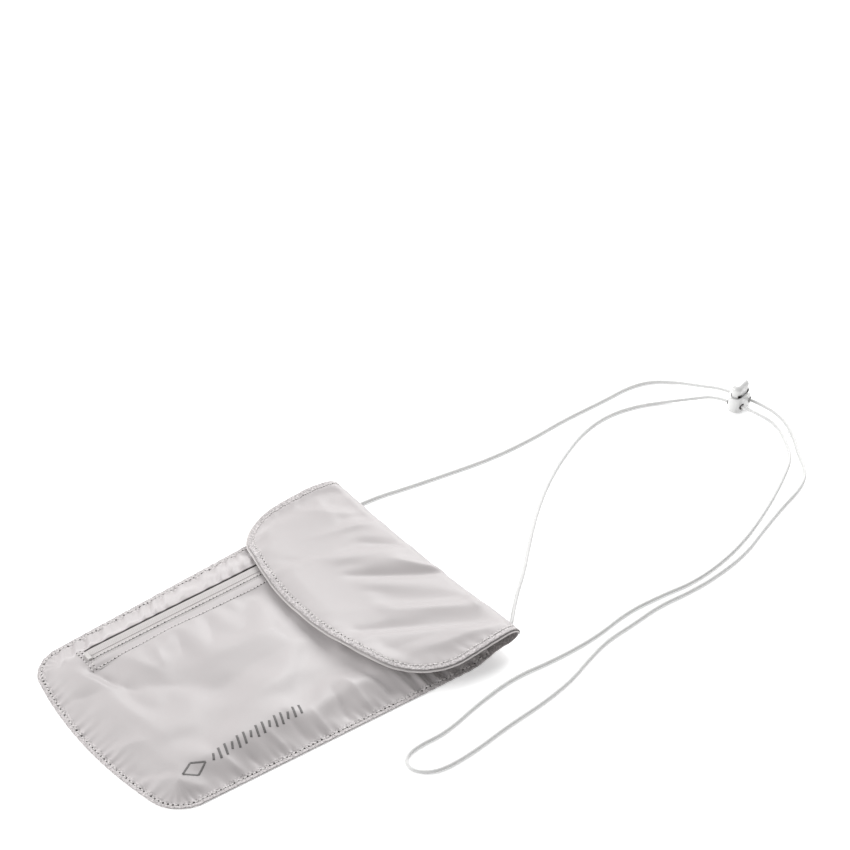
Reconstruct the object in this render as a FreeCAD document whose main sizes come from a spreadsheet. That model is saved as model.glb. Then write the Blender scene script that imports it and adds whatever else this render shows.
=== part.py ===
import FreeCAD, Part
import math
import os
import re

import Sketcher
from FreeCAD import Placement, Rotation, Vector

# A neck pouch wallet, lying on its back. Millimetres. +X to the wearer's left, +Y from the foot of the
# pouch to its fold, +Z up out of the front. The origin is the middle of the footprint, on the surface.
# In the sheet, every length along Y is measured from the foot of the pouch ("at" in its name), and every
# height ("level" in its name) from the surface.

DIMENSIONS = {
    # the pouch's outline
    "overall_length": 206.0,
    "back_end_at": 202.8,
    "fold_width": 150.0,
    "foot_width": 130.0,
    "foot_bulge": 9.0,
    "foot_corner": 14.0,
    "seam_margin": 3.5,
    # layers, from the back up
    "panel_thick": 0.8,
    "liner_level": 5.3,
    "liner_thick": 0.5,
    "front_under_level": 7.5,
    "front_top_level": 8.2,
    "mouth_at": 190.0,
    "hem_length": 6.0,
    "hem_thick": 0.5,
    "sewing_gap": 0.1,
    "hem_clearance": 1.0,
    # the zip beside the left edge
    "zip_offset": 44.5,
    "window_width": 12.0,
    "window_foot_at": 29.0,
    "window_head_at": 183.0,
    "tape_width": 9.1,
    "tape_gap": 1.8,
    "tape_thick": 0.4,
    "coil_width": 1.5,
    "coil_height": 1.1,
    "coil_round": 0.5,
    "stop_length": 2.0,
    "stop_height": 1.3,
    "stop_width": 5.0,
    "stop_inset": 0.3,
    "coil_gap": 0.5,
    # the slider and its pull
    "slider_at": 176.0,
    "slider_length": 9.0,
    "slider_width": 8.0,
    "slider_under_level": 6.1,
    "slider_under_thick": 0.7,
    "slider_top_level": 8.9,
    "slider_top_thick": 0.8,
    "slider_lip_thick": 0.8,
    "slider_lip_depth": 1.1,
    "bridge_width": 1.2,
    "rivet_radius": 0.65,
    "rivet_head_radius": 1.6,
    "rivet_head_level": 10.6,
    "rivet_head_thick": 0.4,
    "pull_level": 9.9,
    "pull_thick": 0.6,
    "pull_eye_radius": 2.4,
    "pull_neck_width": 3.1,
    "pull_hole_radius": 0.95,
    "pull_length": 20.0,
    "pull_end_radius": 2.8,
    # the flap and the strip that folds up to it
    "flap_front_at": 130.0,
    "flap_root_at": 202.9,
    "flap_root_width": 151.0,
    "flap_front_width": 154.0,
    "flap_bulge": 17.0,
    "flap_corner": 24.0,
    "flap_level": 11.4,
    "flap_sheet": 0.5,
    "strip_width": 110.0,
    "strip_at": 203.2,
    "strip_thick": 0.8,
    "strip_level": 0.6,
    "strip_top_level": 11.4,
    # touch fastener
    "patch_width": 44.0,
    "patch_length": 16.0,
    "patch_at": 141.0,
    "loop_thick": 1.4,
    "hook_thick": 1.5,
    # where the cord is sewn in
    "anchor_spread": 124.0,
    "anchor_width": 8.0,
    "anchor_height": 2.2,
    "cord_diameter": 2.0,
    # the cord lock
    "lock_across": 0.0,
    "lock_along": 329.0,
    "lock_turn": 15.0,
    "lock_length": 16.0,
    "lock_width": 9.2,
    "barrel_height": 10.0,
    "barrel_wall": 1.2,
    "barrel_floor": 0.6,
    "barrel_round": 1.6,
    "hole_spacing": 8.4,
    "hole_level": 4.4,
    "hole_radius": 1.9,
    "button_gap": 0.3,
    "button_under_level": 2.4,
    "button_top_level": 16.8,
    "button_round": 2.8,
    "slot_under_level": 3.1,
    "slot_top_level": 11.7,
    "slot_width": 3.0,
    "spring_radius": 1.5,
    "spring_wire": 0.4,
    "spring_turns": 5.0,
    "spring_bore": 2.2,
    "spring_top_level": 6.2,
    "spring_headroom": 0.2,
    # how far a cutting shape runs past what it cuts
    "cut_past": 1.0,
}

# The cord's route: out of the left anchor, through the lock, round the tail's loop, back through the
# lock and into the right anchor.
CORD_ROUTE = [
    (-62.0, 103.0, 1.1), (-62.0, 116.0, 1.1), (-57.5, 137.0, 1.1), (-53.0, 163.0, 1.1),
    (-49.0, 189.0, 1.1), (-48.5, 216.0, 1.1), (-50.5, 243.0, 1.1), (-50.0, 271.0, 1.1),
    (-50.8, 291.0, 1.1), (-47.0, 305.0, 1.1), (-37.5, 315.5, 1.1), (-26.0, 322.5, 2.2),
    (-12.7, 330.0, 4.4), (12.4, 336.7, 4.4), (25.5, 338.4, 2.2), (39.0, 333.5, 1.1),
    (53.0, 323.5, 1.1), (66.5, 316.0, 1.1), (74.0, 304.0, 1.1), (79.0, 286.0, 1.1),
    (86.5, 264.0, 1.1), (94.5, 243.0, 1.1), (98.0, 220.0, 1.1), (98.5, 199.0, 1.1),
    (96.5, 180.0, 1.1), (98.5, 161.0, 1.1), (99.5, 142.0, 1.1), (104.0, 126.0, 1.1),
    (110.0, 109.0, 1.1), (113.5, 88.0, 1.1), (115.0, 64.0, 1.1), (118.0, 42.0, 1.1),
    (118.5, 24.0, 1.1), (115.5, 14.5, 1.1), (108.5, 9.0, 1.1), (101.0, 12.5, 1.1),
    (98.8, 22.0, 1.1), (100.0, 38.0, 1.1), (94.5, 62.0, 1.1), (91.0, 88.0, 1.1),
    (94.0, 112.0, 1.1), (94.2, 139.0, 1.1), (90.0, 164.0, 1.1), (91.5, 186.0, 1.1),
    (94.2, 206.0, 1.1), (92.0, 228.0, 1.1), (86.5, 250.0, 1.1), (78.0, 271.0, 1.1),
    (69.0, 290.0, 1.1), (61.0, 304.5, 1.1), (53.0, 317.5, 1.1), (41.0, 326.0, 1.1),
    (28.0, 331.5, 2.2), (14.6, 328.6, 4.4), (-10.5, 321.8, 4.4), (-19.5, 311.0, 2.2),
    (-28.0, 297.5, 1.1), (-35.0, 282.5, 1.1), (-38.5, 264.0, 1.1), (-35.5, 244.0, 1.1),
    (-26.5, 222.5, 1.1), (-14.0, 200.0, 1.1), (2.0, 178.0, 1.1), (19.5, 158.0, 1.1),
    (33.5, 143.0, 1.1), (44.5, 129.0, 1.1), (54.5, 118.0, 1.1), (62.0, 110.5, 1.1),
    (62.0, 103.0, 1.1),
]
ARC_SHARE = 0.45
SMALL = 0.01

document = FreeCAD.newDocument("NeckPouch")
sheet = document.addObject("Spreadsheet::Sheet", "Dimensions")
for row, (alias, number) in enumerate(DIMENSIONS.items(), start=1):
    sheet.set(f"A{row}", alias)
    sheet.set(f"B{row}", str(number))
    sheet.setAlias(f"B{row}", alias)
document.recompute()


# ---- helpers ---------------------------------------------------------------------------------------

def size(alias):
    """The number in the sheet's cell of this name."""
    return float(sheet.get(alias))


def bind(item, path, formula):
    """Bind a property to a formula in which each dimension goes by its name in the sheet."""
    named = re.sub(r"[a-z][a-z_]*_[a-z_]+", lambda word: "Dimensions." + word.group(0), formula)
    item.setExpression(path, named)


def place(item, across="0", along="0", level="0"):
    """Put an item at a place given across X, along Y from the pouch's foot, and at a height."""
    bind(item, "Placement.Base.x", across)
    bind(item, "Placement.Base.y", f"{along} - overall_length / 2")
    bind(item, "Placement.Base.z", level)


def block(name, width, length, height, across, along, level):
    """A Part::Box centred on `across`, from `along` towards the fold and from `level` up."""
    item = document.addObject("Part::Box", name)
    bind(item, "Length", width)
    bind(item, "Width", length)
    bind(item, "Height", height)
    place(item, f"{across} - ({width}) / 2", along, level)
    return item


def disc(name, radius, height, across, along, level):
    """A Part::Cylinder standing on `level`."""
    item = document.addObject("Part::Cylinder", name)
    bind(item, "Radius", radius)
    bind(item, "Height", height)
    place(item, across, along, level)
    return item


def fuse(name, shapes):
    """One solid out of several that overlap or touch."""
    item = document.addObject("Part::MultiFuse", name)
    item.Shapes = shapes
    item.Refine = True
    return item


def new_body(name, level):
    """A PartDesign body whose origin is on the pouch's middle line, at its foot."""
    body = document.addObject("PartDesign::Body", name)
    place(body, level=level)
    return body


def new_sketch(body, name, plane="XY_Plane", lift=None):
    """A sketch on one of the body's own origin planes, lifted off it by a formula."""
    sketch = body.newObject("Sketcher::SketchObject", name)
    support = [feature for feature in body.Origin.OriginFeatures if feature.Role == plane][0]
    sketch.AttachmentSupport = [(support, "")]
    sketch.MapMode = "FlatFace"
    if lift:
        bind(sketch, "AttachmentOffset.Base.z", lift)
    return sketch


def hold(sketch, kind, *where, formula=None, number=1.0):
    """Add one constraint, bound to a formula where it has a size."""
    if formula is None:
        sketch.addConstraint(Sketcher.Constraint(kind, *where))
        return
    index = sketch.addConstraint(Sketcher.Constraint(kind, *where, number))
    bind(sketch, f"Constraints[{index}]", formula)


def panel_outline(sketch, head_width, foot_width, head_at, corner_at, bulge):
    """A panel: straight head and sides, and a foot that bulges towards -Y.

    It is drawn at a rough size, and its constraints give it the real one.
    """
    half = 60.0
    low = 10.0
    high = 180.0
    depth = 8.0
    radius = (half ** 2 + depth ** 2) / (2 * depth)
    spread = math.asin(half / radius)
    circle = Part.Circle(Vector(0, low - depth + radius, 0), Vector(0, 0, 1), radius)
    right = sketch.addGeometry(Part.LineSegment(Vector(half, low, 0), Vector(half, high, 0)))
    head = sketch.addGeometry(Part.LineSegment(Vector(half, high, 0), Vector(-half, high, 0)))
    left = sketch.addGeometry(Part.LineSegment(Vector(-half, high, 0), Vector(-half, low, 0)))
    foot = sketch.addGeometry(Part.ArcOfCircle(circle, 1.5 * math.pi - spread, 1.5 * math.pi + spread))
    hold(sketch, "Coincident", right, 2, head, 1)
    hold(sketch, "Coincident", head, 2, left, 1)
    hold(sketch, "Coincident", left, 2, foot, 1)
    hold(sketch, "Coincident", foot, 2, right, 1)
    hold(sketch, "Symmetric", head, 2, head, 1, -2)
    hold(sketch, "Symmetric", foot, 1, foot, 2, -2)
    hold(sketch, "DistanceX", head, 2, head, 1, formula=head_width, number=2 * half)
    hold(sketch, "DistanceX", foot, 1, foot, 2, formula=foot_width, number=2 * half)
    hold(sketch, "DistanceY", -1, 1, head, 1, formula=head_at, number=high)
    hold(sketch, "DistanceY", -1, 1, foot, 1, formula=corner_at, number=low)
    radius_formula = f"(({foot_width}) ^ 2 / 4 + ({bulge}) ^ 2) / (2 * ({bulge}))"
    hold(sketch, "Radius", foot, formula=radius_formula, number=radius)


def stadium_outline(sketch, length, width):
    """A slot shape round the origin, its long axis along Y, drawn roughly and sized by its constraints."""
    radius = 4.0
    reach = 3.0
    east = sketch.addGeometry(Part.LineSegment(Vector(radius, -reach, 0), Vector(radius, reach, 0)))
    north = sketch.addGeometry(
        Part.ArcOfCircle(Part.Circle(Vector(0, reach, 0), Vector(0, 0, 1), radius), 0, math.pi))
    west = sketch.addGeometry(Part.LineSegment(Vector(-radius, reach, 0), Vector(-radius, -reach, 0)))
    south = sketch.addGeometry(
        Part.ArcOfCircle(Part.Circle(Vector(0, -reach, 0), Vector(0, 0, 1), radius), math.pi, 2 * math.pi))
    for before, after in ((east, north), (north, west), (west, south), (south, east)):
        hold(sketch, "Tangent", before, 2, after, 1)
    hold(sketch, "Equal", north, south)
    hold(sketch, "Symmetric", north, 3, south, 3, -1, 1)
    hold(sketch, "PointOnObject", north, 3, -2)
    hold(sketch, "Radius", north, formula=f"({width}) / 2", number=radius)
    hold(sketch, "DistanceY", south, 3, north, 3, formula=f"({length}) - ({width})", number=2 * reach)


def box_outline(sketch, left, right, low, high):
    """A rectangle in the sketch's first quadrant, or across its axes where a formula is negative."""
    corners = [Vector(1, 1, 0), Vector(2, 1, 0), Vector(2, 2, 0), Vector(1, 2, 0)]
    sides = [sketch.addGeometry(Part.LineSegment(corners[n], corners[(n + 1) % 4])) for n in range(4)]
    for n in range(4):
        hold(sketch, "Coincident", sides[n], 2, sides[(n + 1) % 4], 1)
    hold(sketch, "Horizontal", sides[0])
    hold(sketch, "Vertical", sides[1])
    hold(sketch, "Horizontal", sides[2])
    hold(sketch, "Vertical", sides[3])
    hold(sketch, "DistanceX", -1, 1, sides[0], 1, formula=left, number=1.0)
    hold(sketch, "DistanceX", -1, 1, sides[0], 2, formula=right, number=2.0)
    hold(sketch, "DistanceY", -1, 1, sides[0], 1, formula=low, number=1.0)
    hold(sketch, "DistanceY", -1, 1, sides[2], 1, formula=high, number=2.0)


def circle_outline(sketch, radius, across, up):
    """A circle at a place in the sketch."""
    ring = sketch.addGeometry(Part.Circle(Vector(1, 1, 0), Vector(0, 0, 1), 1.0))
    hold(sketch, "Radius", ring, formula=radius)
    hold(sketch, "DistanceX", -1, 1, ring, 3, formula=across)
    hold(sketch, "DistanceY", -1, 1, ring, 3, formula=up)


def pad(body, sketch, length, name="Pad"):
    """Material from the sketch upwards."""
    feature = body.newObject("PartDesign::Pad", name)
    feature.Profile = sketch
    bind(feature, "Length", length)
    document.recompute()
    return feature


def pocket(body, sketch, length, name="Pocket", upwards=False, both_ways=False):
    """A cut from the sketch, checked to have taken material away."""
    before = body.Shape.Volume
    feature = body.newObject("PartDesign::Pocket", name)
    feature.Profile = sketch
    feature.Reversed = upwards
    feature.Midplane = both_ways
    bind(feature, "Length", length)
    document.recompute()
    if body.Shape.Volume > before - SMALL:
        raise RuntimeError(f"{body.Label}: {name} cuts nothing")
    return feature


def upright_edges(shape, along_at):
    """Names of the edges that run along Z at this distance from the pouch's foot."""
    names = []
    for number, edge in enumerate(shape.Edges, start=1):
        first, last = edge.Vertexes[0].Point, edge.Vertexes[-1].Point
        drift = math.hypot(first.x - last.x, first.y - last.y)
        upright = abs(first.z - last.z) > SMALL > drift
        if upright and any(abs(first.y - spot) < SMALL for spot in along_at):
            names.append(f"Edge{number}")
    return names


def round_edges(body, feature, names, radius, label="Round"):
    """A PartDesign fillet on the named edges."""
    rounding = body.newObject("PartDesign::Fillet", label)
    rounding.Base = (feature, names)
    bind(rounding, "Radius", radius)
    document.recompute()
    return rounding


# ---- the pouch's sewn panels -----------------------------------------------------------------------

def side_width(at, inset):
    """Formula of the pouch's width at a distance from the foot, its seams drawn in by `inset`."""
    taper = "(fold_width - foot_width) / (back_end_at - foot_bulge)"
    return f"foot_width + {taper} * (({at}) - foot_bulge) - 2 * ({inset})"


def pouch_outline(sketch, inset, head_at):
    """The pouch's outline, drawn in by `inset`, up to `head_at`."""
    corner_at = f"foot_bulge + {inset}"
    panel_outline(sketch, side_width(head_at, inset), side_width(corner_at, inset), head_at, corner_at,
                  "foot_bulge")


def flat_panel(name, inset, head_at, level, thick):
    """A flat layer of the pouch."""
    body = new_body(name, level=level)
    sketch = new_sketch(body, f"{name}_outline")
    pouch_outline(sketch, inset, head_at)
    layer = pad(body, sketch, thick)
    corners = upright_edges(layer.Shape, [float(sketch.Shape.BoundBox.YMin) + size("foot_bulge")])
    round_edges(body, layer, corners, "foot_corner")
    return body


def make_front_panel():
    """The front: a sewn margin, and a raised tray inside it that is open at the mouth."""
    body = new_body("front_panel", level="panel_thick")
    rim_sketch = new_sketch(body, "rim_outline")
    pouch_outline(rim_sketch, "0", "mouth_at")
    pad(body, rim_sketch, "panel_thick", "Rim")
    crown_sketch = new_sketch(body, "crown_outline")
    pouch_outline(crown_sketch, "seam_margin", "mouth_at")
    pad(body, crown_sketch, "front_top_level - panel_thick", "Crown")
    hollow_sketch = new_sketch(body, "hollow_outline")
    pouch_outline(hollow_sketch, "seam_margin + panel_thick", "mouth_at + cut_past")
    hollow = pocket(body, hollow_sketch, "front_under_level - panel_thick", "Hollow", upwards=True)
    corner_spots = [size("foot_bulge") + inset
                    for inset in (0.0, size("seam_margin"), size("seam_margin") + size("panel_thick"))]
    round_edges(body, hollow, upright_edges(hollow.Shape, corner_spots), "foot_corner")
    window_sketch = new_sketch(body, "window_outline", lift="front_under_level - panel_thick - cut_past")
    box_outline(window_sketch, "-zip_offset - window_width / 2", "-zip_offset + window_width / 2",
                "window_foot_at", "window_head_at")
    pocket(body, window_sketch, "front_top_level - front_under_level + 2 * cut_past", "Window",
           upwards=True)
    return body


def make_pouch_panels():
    """Back, front, the liner that makes the zipped pocket, and the hem at the mouth."""
    back = flat_panel("back_panel", "0", "back_end_at", "0", "panel_thick")
    front = make_front_panel()
    liner = flat_panel("pocket_liner", "seam_margin + panel_thick + sewing_gap", "window_head_at",
                       "liner_level", "liner_thick")
    hem_width = side_width("mouth_at", "seam_margin + panel_thick + hem_clearance")
    hem = block("mouth_hem", hem_width, "hem_length", "hem_thick", "0", "mouth_at - hem_length",
                "front_under_level - hem_thick")
    return [back, front, liner, hem]


# ---- the zip ---------------------------------------------------------------------------------------

def make_zip():
    """Two tapes under the window, a coil on each, and a stop across each end."""
    parts = []
    length = "(window_head_at - window_foot_at)"
    for side, sign in (("left", "-"), ("right", "+")):
        tape_centre = f"-zip_offset {sign} (tape_gap + tape_width) / 2"
        parts.append(block(f"zip_tape_{side}", "tape_width", length, "tape_thick", tape_centre,
                           "window_foot_at", "front_under_level - tape_thick"))
        coil_centre = f"-zip_offset {sign} (tape_gap + coil_width) / 2"
        bead = block(f"coil_bar_{side}", "coil_width", f"{length} - 2 * (stop_length + coil_gap)",
                     "coil_height", coil_centre, "window_foot_at + stop_length + coil_gap",
                     "front_under_level")
        coil = document.addObject("Part::Fillet", f"zip_coil_{side}")
        document.recompute()
        top = size("front_under_level") + size("coil_height")
        edges = [number for number, edge in enumerate(bead.Shape.Edges, start=1)
                 if edge.BoundBox.ZMin > top - SMALL and edge.BoundBox.YLength > size("coil_width")]
        coil.Base = bead
        coil.Edges = [(number, size("coil_round"), size("coil_round")) for number in edges]
        parts.append(coil)
    parts.append(block("zip_bottom_stop", "stop_width", "stop_length", "stop_height", "-zip_offset",
                       "window_foot_at + stop_inset", "front_under_level"))
    parts.append(block("zip_top_stop", "stop_width", "stop_length", "stop_height", "-zip_offset",
                       "window_head_at - stop_length - stop_inset", "front_under_level"))
    return parts


def make_slider():
    """The slider: plates over and under the tapes, joined by a bridge, with a rivet for the pull."""
    along = "slider_at - slider_length / 2"
    top = block("slider_top", "slider_width", "slider_length", "slider_top_thick", "-zip_offset", along,
                "slider_top_level")
    under = block("slider_under", "slider_width", "slider_length", "slider_under_thick", "-zip_offset",
                  along, "slider_under_level")
    bridge = block("slider_bridge", "bridge_width", "slider_length",
                   "slider_top_level - slider_under_level", "-zip_offset", along, "slider_under_level")
    shapes = [top, under, bridge]
    for side, sign in (("left", "-"), ("right", "+")):
        shapes.append(block(f"slider_lip_{side}", "slider_lip_thick", "slider_length",
                            "slider_lip_depth", f"-zip_offset {sign} (slider_width - slider_lip_thick) / 2",
                            along, "slider_top_level - slider_lip_depth"))
    top_of_plate = "slider_top_level + slider_top_thick"
    shapes.append(disc("rivet_shank", "rivet_radius", f"rivet_head_level - ({top_of_plate})",
                       "-zip_offset", "slider_at", top_of_plate))
    shapes.append(disc("rivet_head", "rivet_head_radius", "rivet_head_thick", "-zip_offset", "slider_at",
                       "rivet_head_level"))
    return fuse("zip_slider", shapes)


def make_pull():
    """The pull: an eye on the slider's rivet, a neck, and a rounded end."""
    eye = disc("pull_eye", "pull_eye_radius", "pull_thick", "-zip_offset", "slider_at", "pull_level")
    neck = block("pull_neck", "pull_neck_width", "pull_length", "pull_thick", "-zip_offset",
                 "slider_at - pull_length", "pull_level")
    grip = block("pull_grip", "2 * pull_end_radius", "pull_length / 2", "pull_thick", "-zip_offset",
                 "slider_at - pull_length", "pull_level")
    end = disc("pull_end", "pull_end_radius", "pull_thick", "-zip_offset", "slider_at - pull_length",
               "pull_level")
    blank = fuse("pull_blank", [eye, neck, grip, end])
    hole = disc("pull_hole", "pull_hole_radius", "pull_thick + 2 * cut_past", "-zip_offset", "slider_at",
                "pull_level - cut_past")
    tab = document.addObject("Part::Cut", "pull_tab")
    tab.Base = blank
    tab.Tool = hole
    return tab


# ---- the flap --------------------------------------------------------------------------------------

def flap_layer(name, level):
    """One layer of the flap."""
    body = new_body(name, level=level)
    sketch = new_sketch(body, f"{name}_outline")
    panel_outline(sketch, "flap_root_width", "flap_front_width", "flap_root_at",
                  "flap_front_at + flap_bulge", "flap_bulge")
    layer = pad(body, sketch, "flap_sheet")
    corners = upright_edges(layer.Shape, [size("flap_front_at") + size("flap_bulge")])
    round_edges(body, layer, corners, "flap_corner")
    return body


def make_flap():
    """The strip that stands up at the fold, the flap's two layers and the touch fastener."""
    strip = block("fold_strip", "strip_width", "strip_thick", "strip_top_level - strip_level", "0",
                  "strip_at", "strip_level")
    lining = flap_layer("flap_lining", "flap_level")
    outer = flap_layer("flap_outer", "flap_level + flap_sheet")
    loop = block("loop_patch", "patch_width", "patch_length", "loop_thick", "0", "patch_at",
                 "front_top_level")
    hook = block("hook_patch", "patch_width", "patch_length", "hook_thick", "0", "patch_at",
                 "flap_level - hook_thick")
    return [strip, lining, outer, loop, hook]


# ---- the neck cord ---------------------------------------------------------------------------------

def make_anchors():
    """The stitched tabs that hold the cord's two ends."""
    return [block(f"cord_anchor_{side}", "anchor_width", "overall_length - back_end_at",
                  "anchor_height", f"{sign} anchor_spread / 2", "back_end_at", "0")
            for side, sign in (("left", "-"), ("right", "+"))]


def rounded_path(points):
    """Straight runs joined by tangent arcs, each arc as large as its two runs allow."""
    edges = []
    radii = []
    start = points[0]
    for before, corner, after in zip(points, points[1:], points[2:]):
        back = (before - corner).normalize()
        ahead = (after - corner).normalize()
        half_turn = (math.pi - back.getAngle(ahead)) / 2
        trim = ARC_SHARE * min((before - corner).Length, (after - corner).Length)
        radius = trim / math.tan(half_turn)
        radii.append(radius)
        entry = corner + back * trim
        leave = corner + ahead * trim
        middle = corner + (back + ahead).normalize() * (radius / math.cos(half_turn) - radius)
        edges.append(Part.LineSegment(start, entry).toShape())
        edges.append(Part.Arc(entry, middle, leave).toShape())
        start = leave
    edges.append(Part.LineSegment(start, points[-1]).toShape())
    print("cord arc radii, mm:", " ".join(f"{radius:.1f}" for radius in radii))
    return Part.Wire(edges)


def make_cord():
    """The cord as one round tube along its route."""
    path = rounded_path([Vector(*point) for point in CORD_ROUTE])
    radius = size("cord_diameter") / 2
    first = Vector(*CORD_ROUTE[0])
    heading = (Vector(*CORD_ROUTE[1]) - first).normalize()
    ring = Part.Wire([Part.makeCircle(radius, first, heading)])
    tube = path.makePipeShell([ring], True, False)
    wanted = math.pi * radius ** 2 * path.Length
    print(f"cord length {path.Length:.1f} mm, volume {tube.Volume:.1f} of {wanted:.1f} mm3")
    if abs(tube.Volume / wanted - 1) > 0.01:
        raise RuntimeError("the cord's tube has the wrong volume")
    cord = document.addObject("Part::Feature", "neck_cord")
    cord.Shape = tube
    cord.Placement = Placement()
    return cord


# ---- the cord lock ---------------------------------------------------------------------------------

def lock_body(name):
    """A body at the lock's place, turned to face along the cord."""
    body = document.addObject("PartDesign::Body", name)
    bind(body, "Placement.Base.x", "lock_across")
    bind(body, "Placement.Base.y", "lock_along")
    bind(body, "Placement.Rotation.Angle", "lock_turn")
    return body


def make_barrel():
    """The barrel: an oval cup with two holes for the cord."""
    body = lock_body("lock_barrel")
    outline = new_sketch(body, "barrel_outline")
    stadium_outline(outline, "lock_length", "lock_width")
    cup = pad(body, outline, "barrel_height")
    under_edges = [f"Edge{number}" for number, edge in enumerate(cup.Shape.Edges, start=1)
                   if edge.BoundBox.ZMax < SMALL]
    round_edges(body, cup, under_edges, "barrel_round")
    cavity = new_sketch(body, "cavity_outline", lift="barrel_floor")
    stadium_outline(cavity, "lock_length - 2 * barrel_wall", "lock_width - 2 * barrel_wall")
    pocket(body, cavity, "barrel_height", "Cavity", upwards=True)
    holes = new_sketch(body, "hole_outline", plane="YZ_Plane")
    circle_outline(holes, "hole_radius", "hole_spacing / 2", "hole_level")
    circle_outline(holes, "hole_radius", "-hole_spacing / 2", "hole_level")
    pocket(body, holes, "2 * lock_width", "Holes", both_ways=True)
    return body


def make_button():
    """The button: an oval plunger with slots for the cord and a bore for the spring."""
    body = lock_body("lock_button")
    outline = new_sketch(body, "button_outline", lift="button_under_level")
    shrink = "2 * (barrel_wall + button_gap)"
    stadium_outline(outline, f"lock_length - {shrink}", f"lock_width - {shrink}")
    plunger = pad(body, outline, "button_top_level - button_under_level")
    top_level = size("button_top_level")
    top_edges = [f"Edge{number}" for number, edge in enumerate(plunger.Shape.Edges, start=1)
                 if edge.BoundBox.ZMin > top_level - SMALL]
    round_edges(body, plunger, top_edges, "button_round")
    slots = new_sketch(body, "slot_outline", plane="YZ_Plane")
    for low, high in (("hole_spacing / 2 - slot_width / 2", "hole_spacing / 2 + slot_width / 2"),
                      ("-hole_spacing / 2 - slot_width / 2", "-hole_spacing / 2 + slot_width / 2")):
        box_outline(slots, low, high, "slot_under_level", "slot_top_level")
    pocket(body, slots, "2 * lock_width", "Slots", both_ways=True)
    bore = new_sketch(body, "bore_outline", lift="button_under_level")
    circle_outline(bore, "spring_bore", "0", "0")
    pocket(body, bore, "spring_top_level + spring_headroom - button_under_level", "Bore", upwards=True)
    return body


def make_spring():
    """The compression spring between the barrel's floor and the button.

    Its wire is square. The section stands upright where the helix starts, and leans with its slope.
    """
    rise = size("spring_top_level") - size("barrel_floor") - size("spring_wire")
    helix = document.addObject("Part::Helix", "spring_line")
    bind(helix, "Pitch", "(spring_top_level - barrel_floor - spring_wire) / spring_turns")
    bind(helix, "Height", "spring_top_level - barrel_floor - spring_wire")
    bind(helix, "Radius", "spring_radius")
    section = document.addObject("Part::RegularPolygon", "spring_section")
    section.Polygon = 4
    bind(section, "Circumradius", "spring_wire / sqrt(2)")
    slope = math.degrees(math.atan2(rise / size("spring_turns"), 2 * math.pi * size("spring_radius")))
    across_line = Rotation(Vector(1, 0, 0), 90 + slope)
    square_on = Rotation(Vector(0, 0, 1), 45)
    section.Placement = Placement(Vector(size("spring_radius"), 0, 0), across_line.multiply(square_on))
    spring = document.addObject("Part::Sweep", "lock_spring")
    spring.Sections = [section]
    spring.Spine = (helix, ["Edge1"])
    spring.Solid = True
    spring.Frenet = True
    bind(spring, "Placement.Base.x", "lock_across")
    bind(spring, "Placement.Base.y", "lock_along")
    bind(spring, "Placement.Base.z", "barrel_floor + spring_wire / 2")
    return spring


# ---- build, check, write ---------------------------------------------------------------------------

def check_document():
    """Stop if any object of the document failed."""
    for item in document.Objects:
        if "Invalid" in item.State or "Error" in item.State:
            raise RuntimeError(f"{item.Label} failed: {item.State}")


def write_part(item):
    """Check one sub-part's shape and write it."""
    shape = item.Shape
    if shape.isNull() or not shape.isValid() or not shape.Solids:
        raise RuntimeError(f"{item.Label} has no valid solid")
    shape.exportStep(os.path.join("parts", f"{item.Label}.step"))
    print(f"{item.Label}: {len(shape.Solids)} solid, {shape.Volume:.1f} mm3")


sub_parts = make_pouch_panels()
sub_parts += make_zip()
sub_parts += [make_slider(), make_pull()]
sub_parts += make_flap()
sub_parts += make_anchors()
sub_parts += [make_cord(), make_barrel(), make_button(), make_spring()]
document.recompute()
check_document()
os.makedirs("parts", exist_ok=True)
for sub_part in sub_parts:
    write_part(sub_part)
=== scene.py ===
"""Looks of the neck pouch wallet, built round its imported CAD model.

Lengths with no unit are millimetres. A place on the cloth is given as across, from the pouch's middle
line, along, from its foot, and up, from the table. The frame itself is in metres.
"""

import math

import bpy
import numpy as np
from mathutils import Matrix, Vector


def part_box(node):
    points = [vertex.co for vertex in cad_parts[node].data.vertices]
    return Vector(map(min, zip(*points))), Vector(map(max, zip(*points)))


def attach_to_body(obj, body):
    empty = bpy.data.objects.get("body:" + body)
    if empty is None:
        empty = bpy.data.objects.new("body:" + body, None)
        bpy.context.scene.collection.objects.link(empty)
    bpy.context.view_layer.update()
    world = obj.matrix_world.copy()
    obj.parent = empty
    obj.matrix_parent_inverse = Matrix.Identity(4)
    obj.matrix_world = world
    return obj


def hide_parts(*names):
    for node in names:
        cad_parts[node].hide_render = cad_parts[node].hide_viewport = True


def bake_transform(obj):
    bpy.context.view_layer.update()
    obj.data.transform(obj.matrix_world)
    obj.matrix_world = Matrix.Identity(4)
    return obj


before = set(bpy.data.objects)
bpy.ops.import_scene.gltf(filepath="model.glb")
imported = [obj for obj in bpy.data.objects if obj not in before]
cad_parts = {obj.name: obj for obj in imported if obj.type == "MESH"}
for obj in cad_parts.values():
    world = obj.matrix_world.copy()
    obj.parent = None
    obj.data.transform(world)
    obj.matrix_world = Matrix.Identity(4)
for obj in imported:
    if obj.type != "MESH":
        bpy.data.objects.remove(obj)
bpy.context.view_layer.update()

MM = 0.001
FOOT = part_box("back_panel")[0].y / MM


# ---- camera ----

CAMERA_TARGET = Vector((-0.0959, 0.1792, 0.0))
CAMERA_AZIMUTH = math.radians(51.84)
CAMERA_ELEVATION = math.radians(37.99)
CAMERA_DISTANCE = 1.3547
CAMERA_LENS = 102.59


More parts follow.
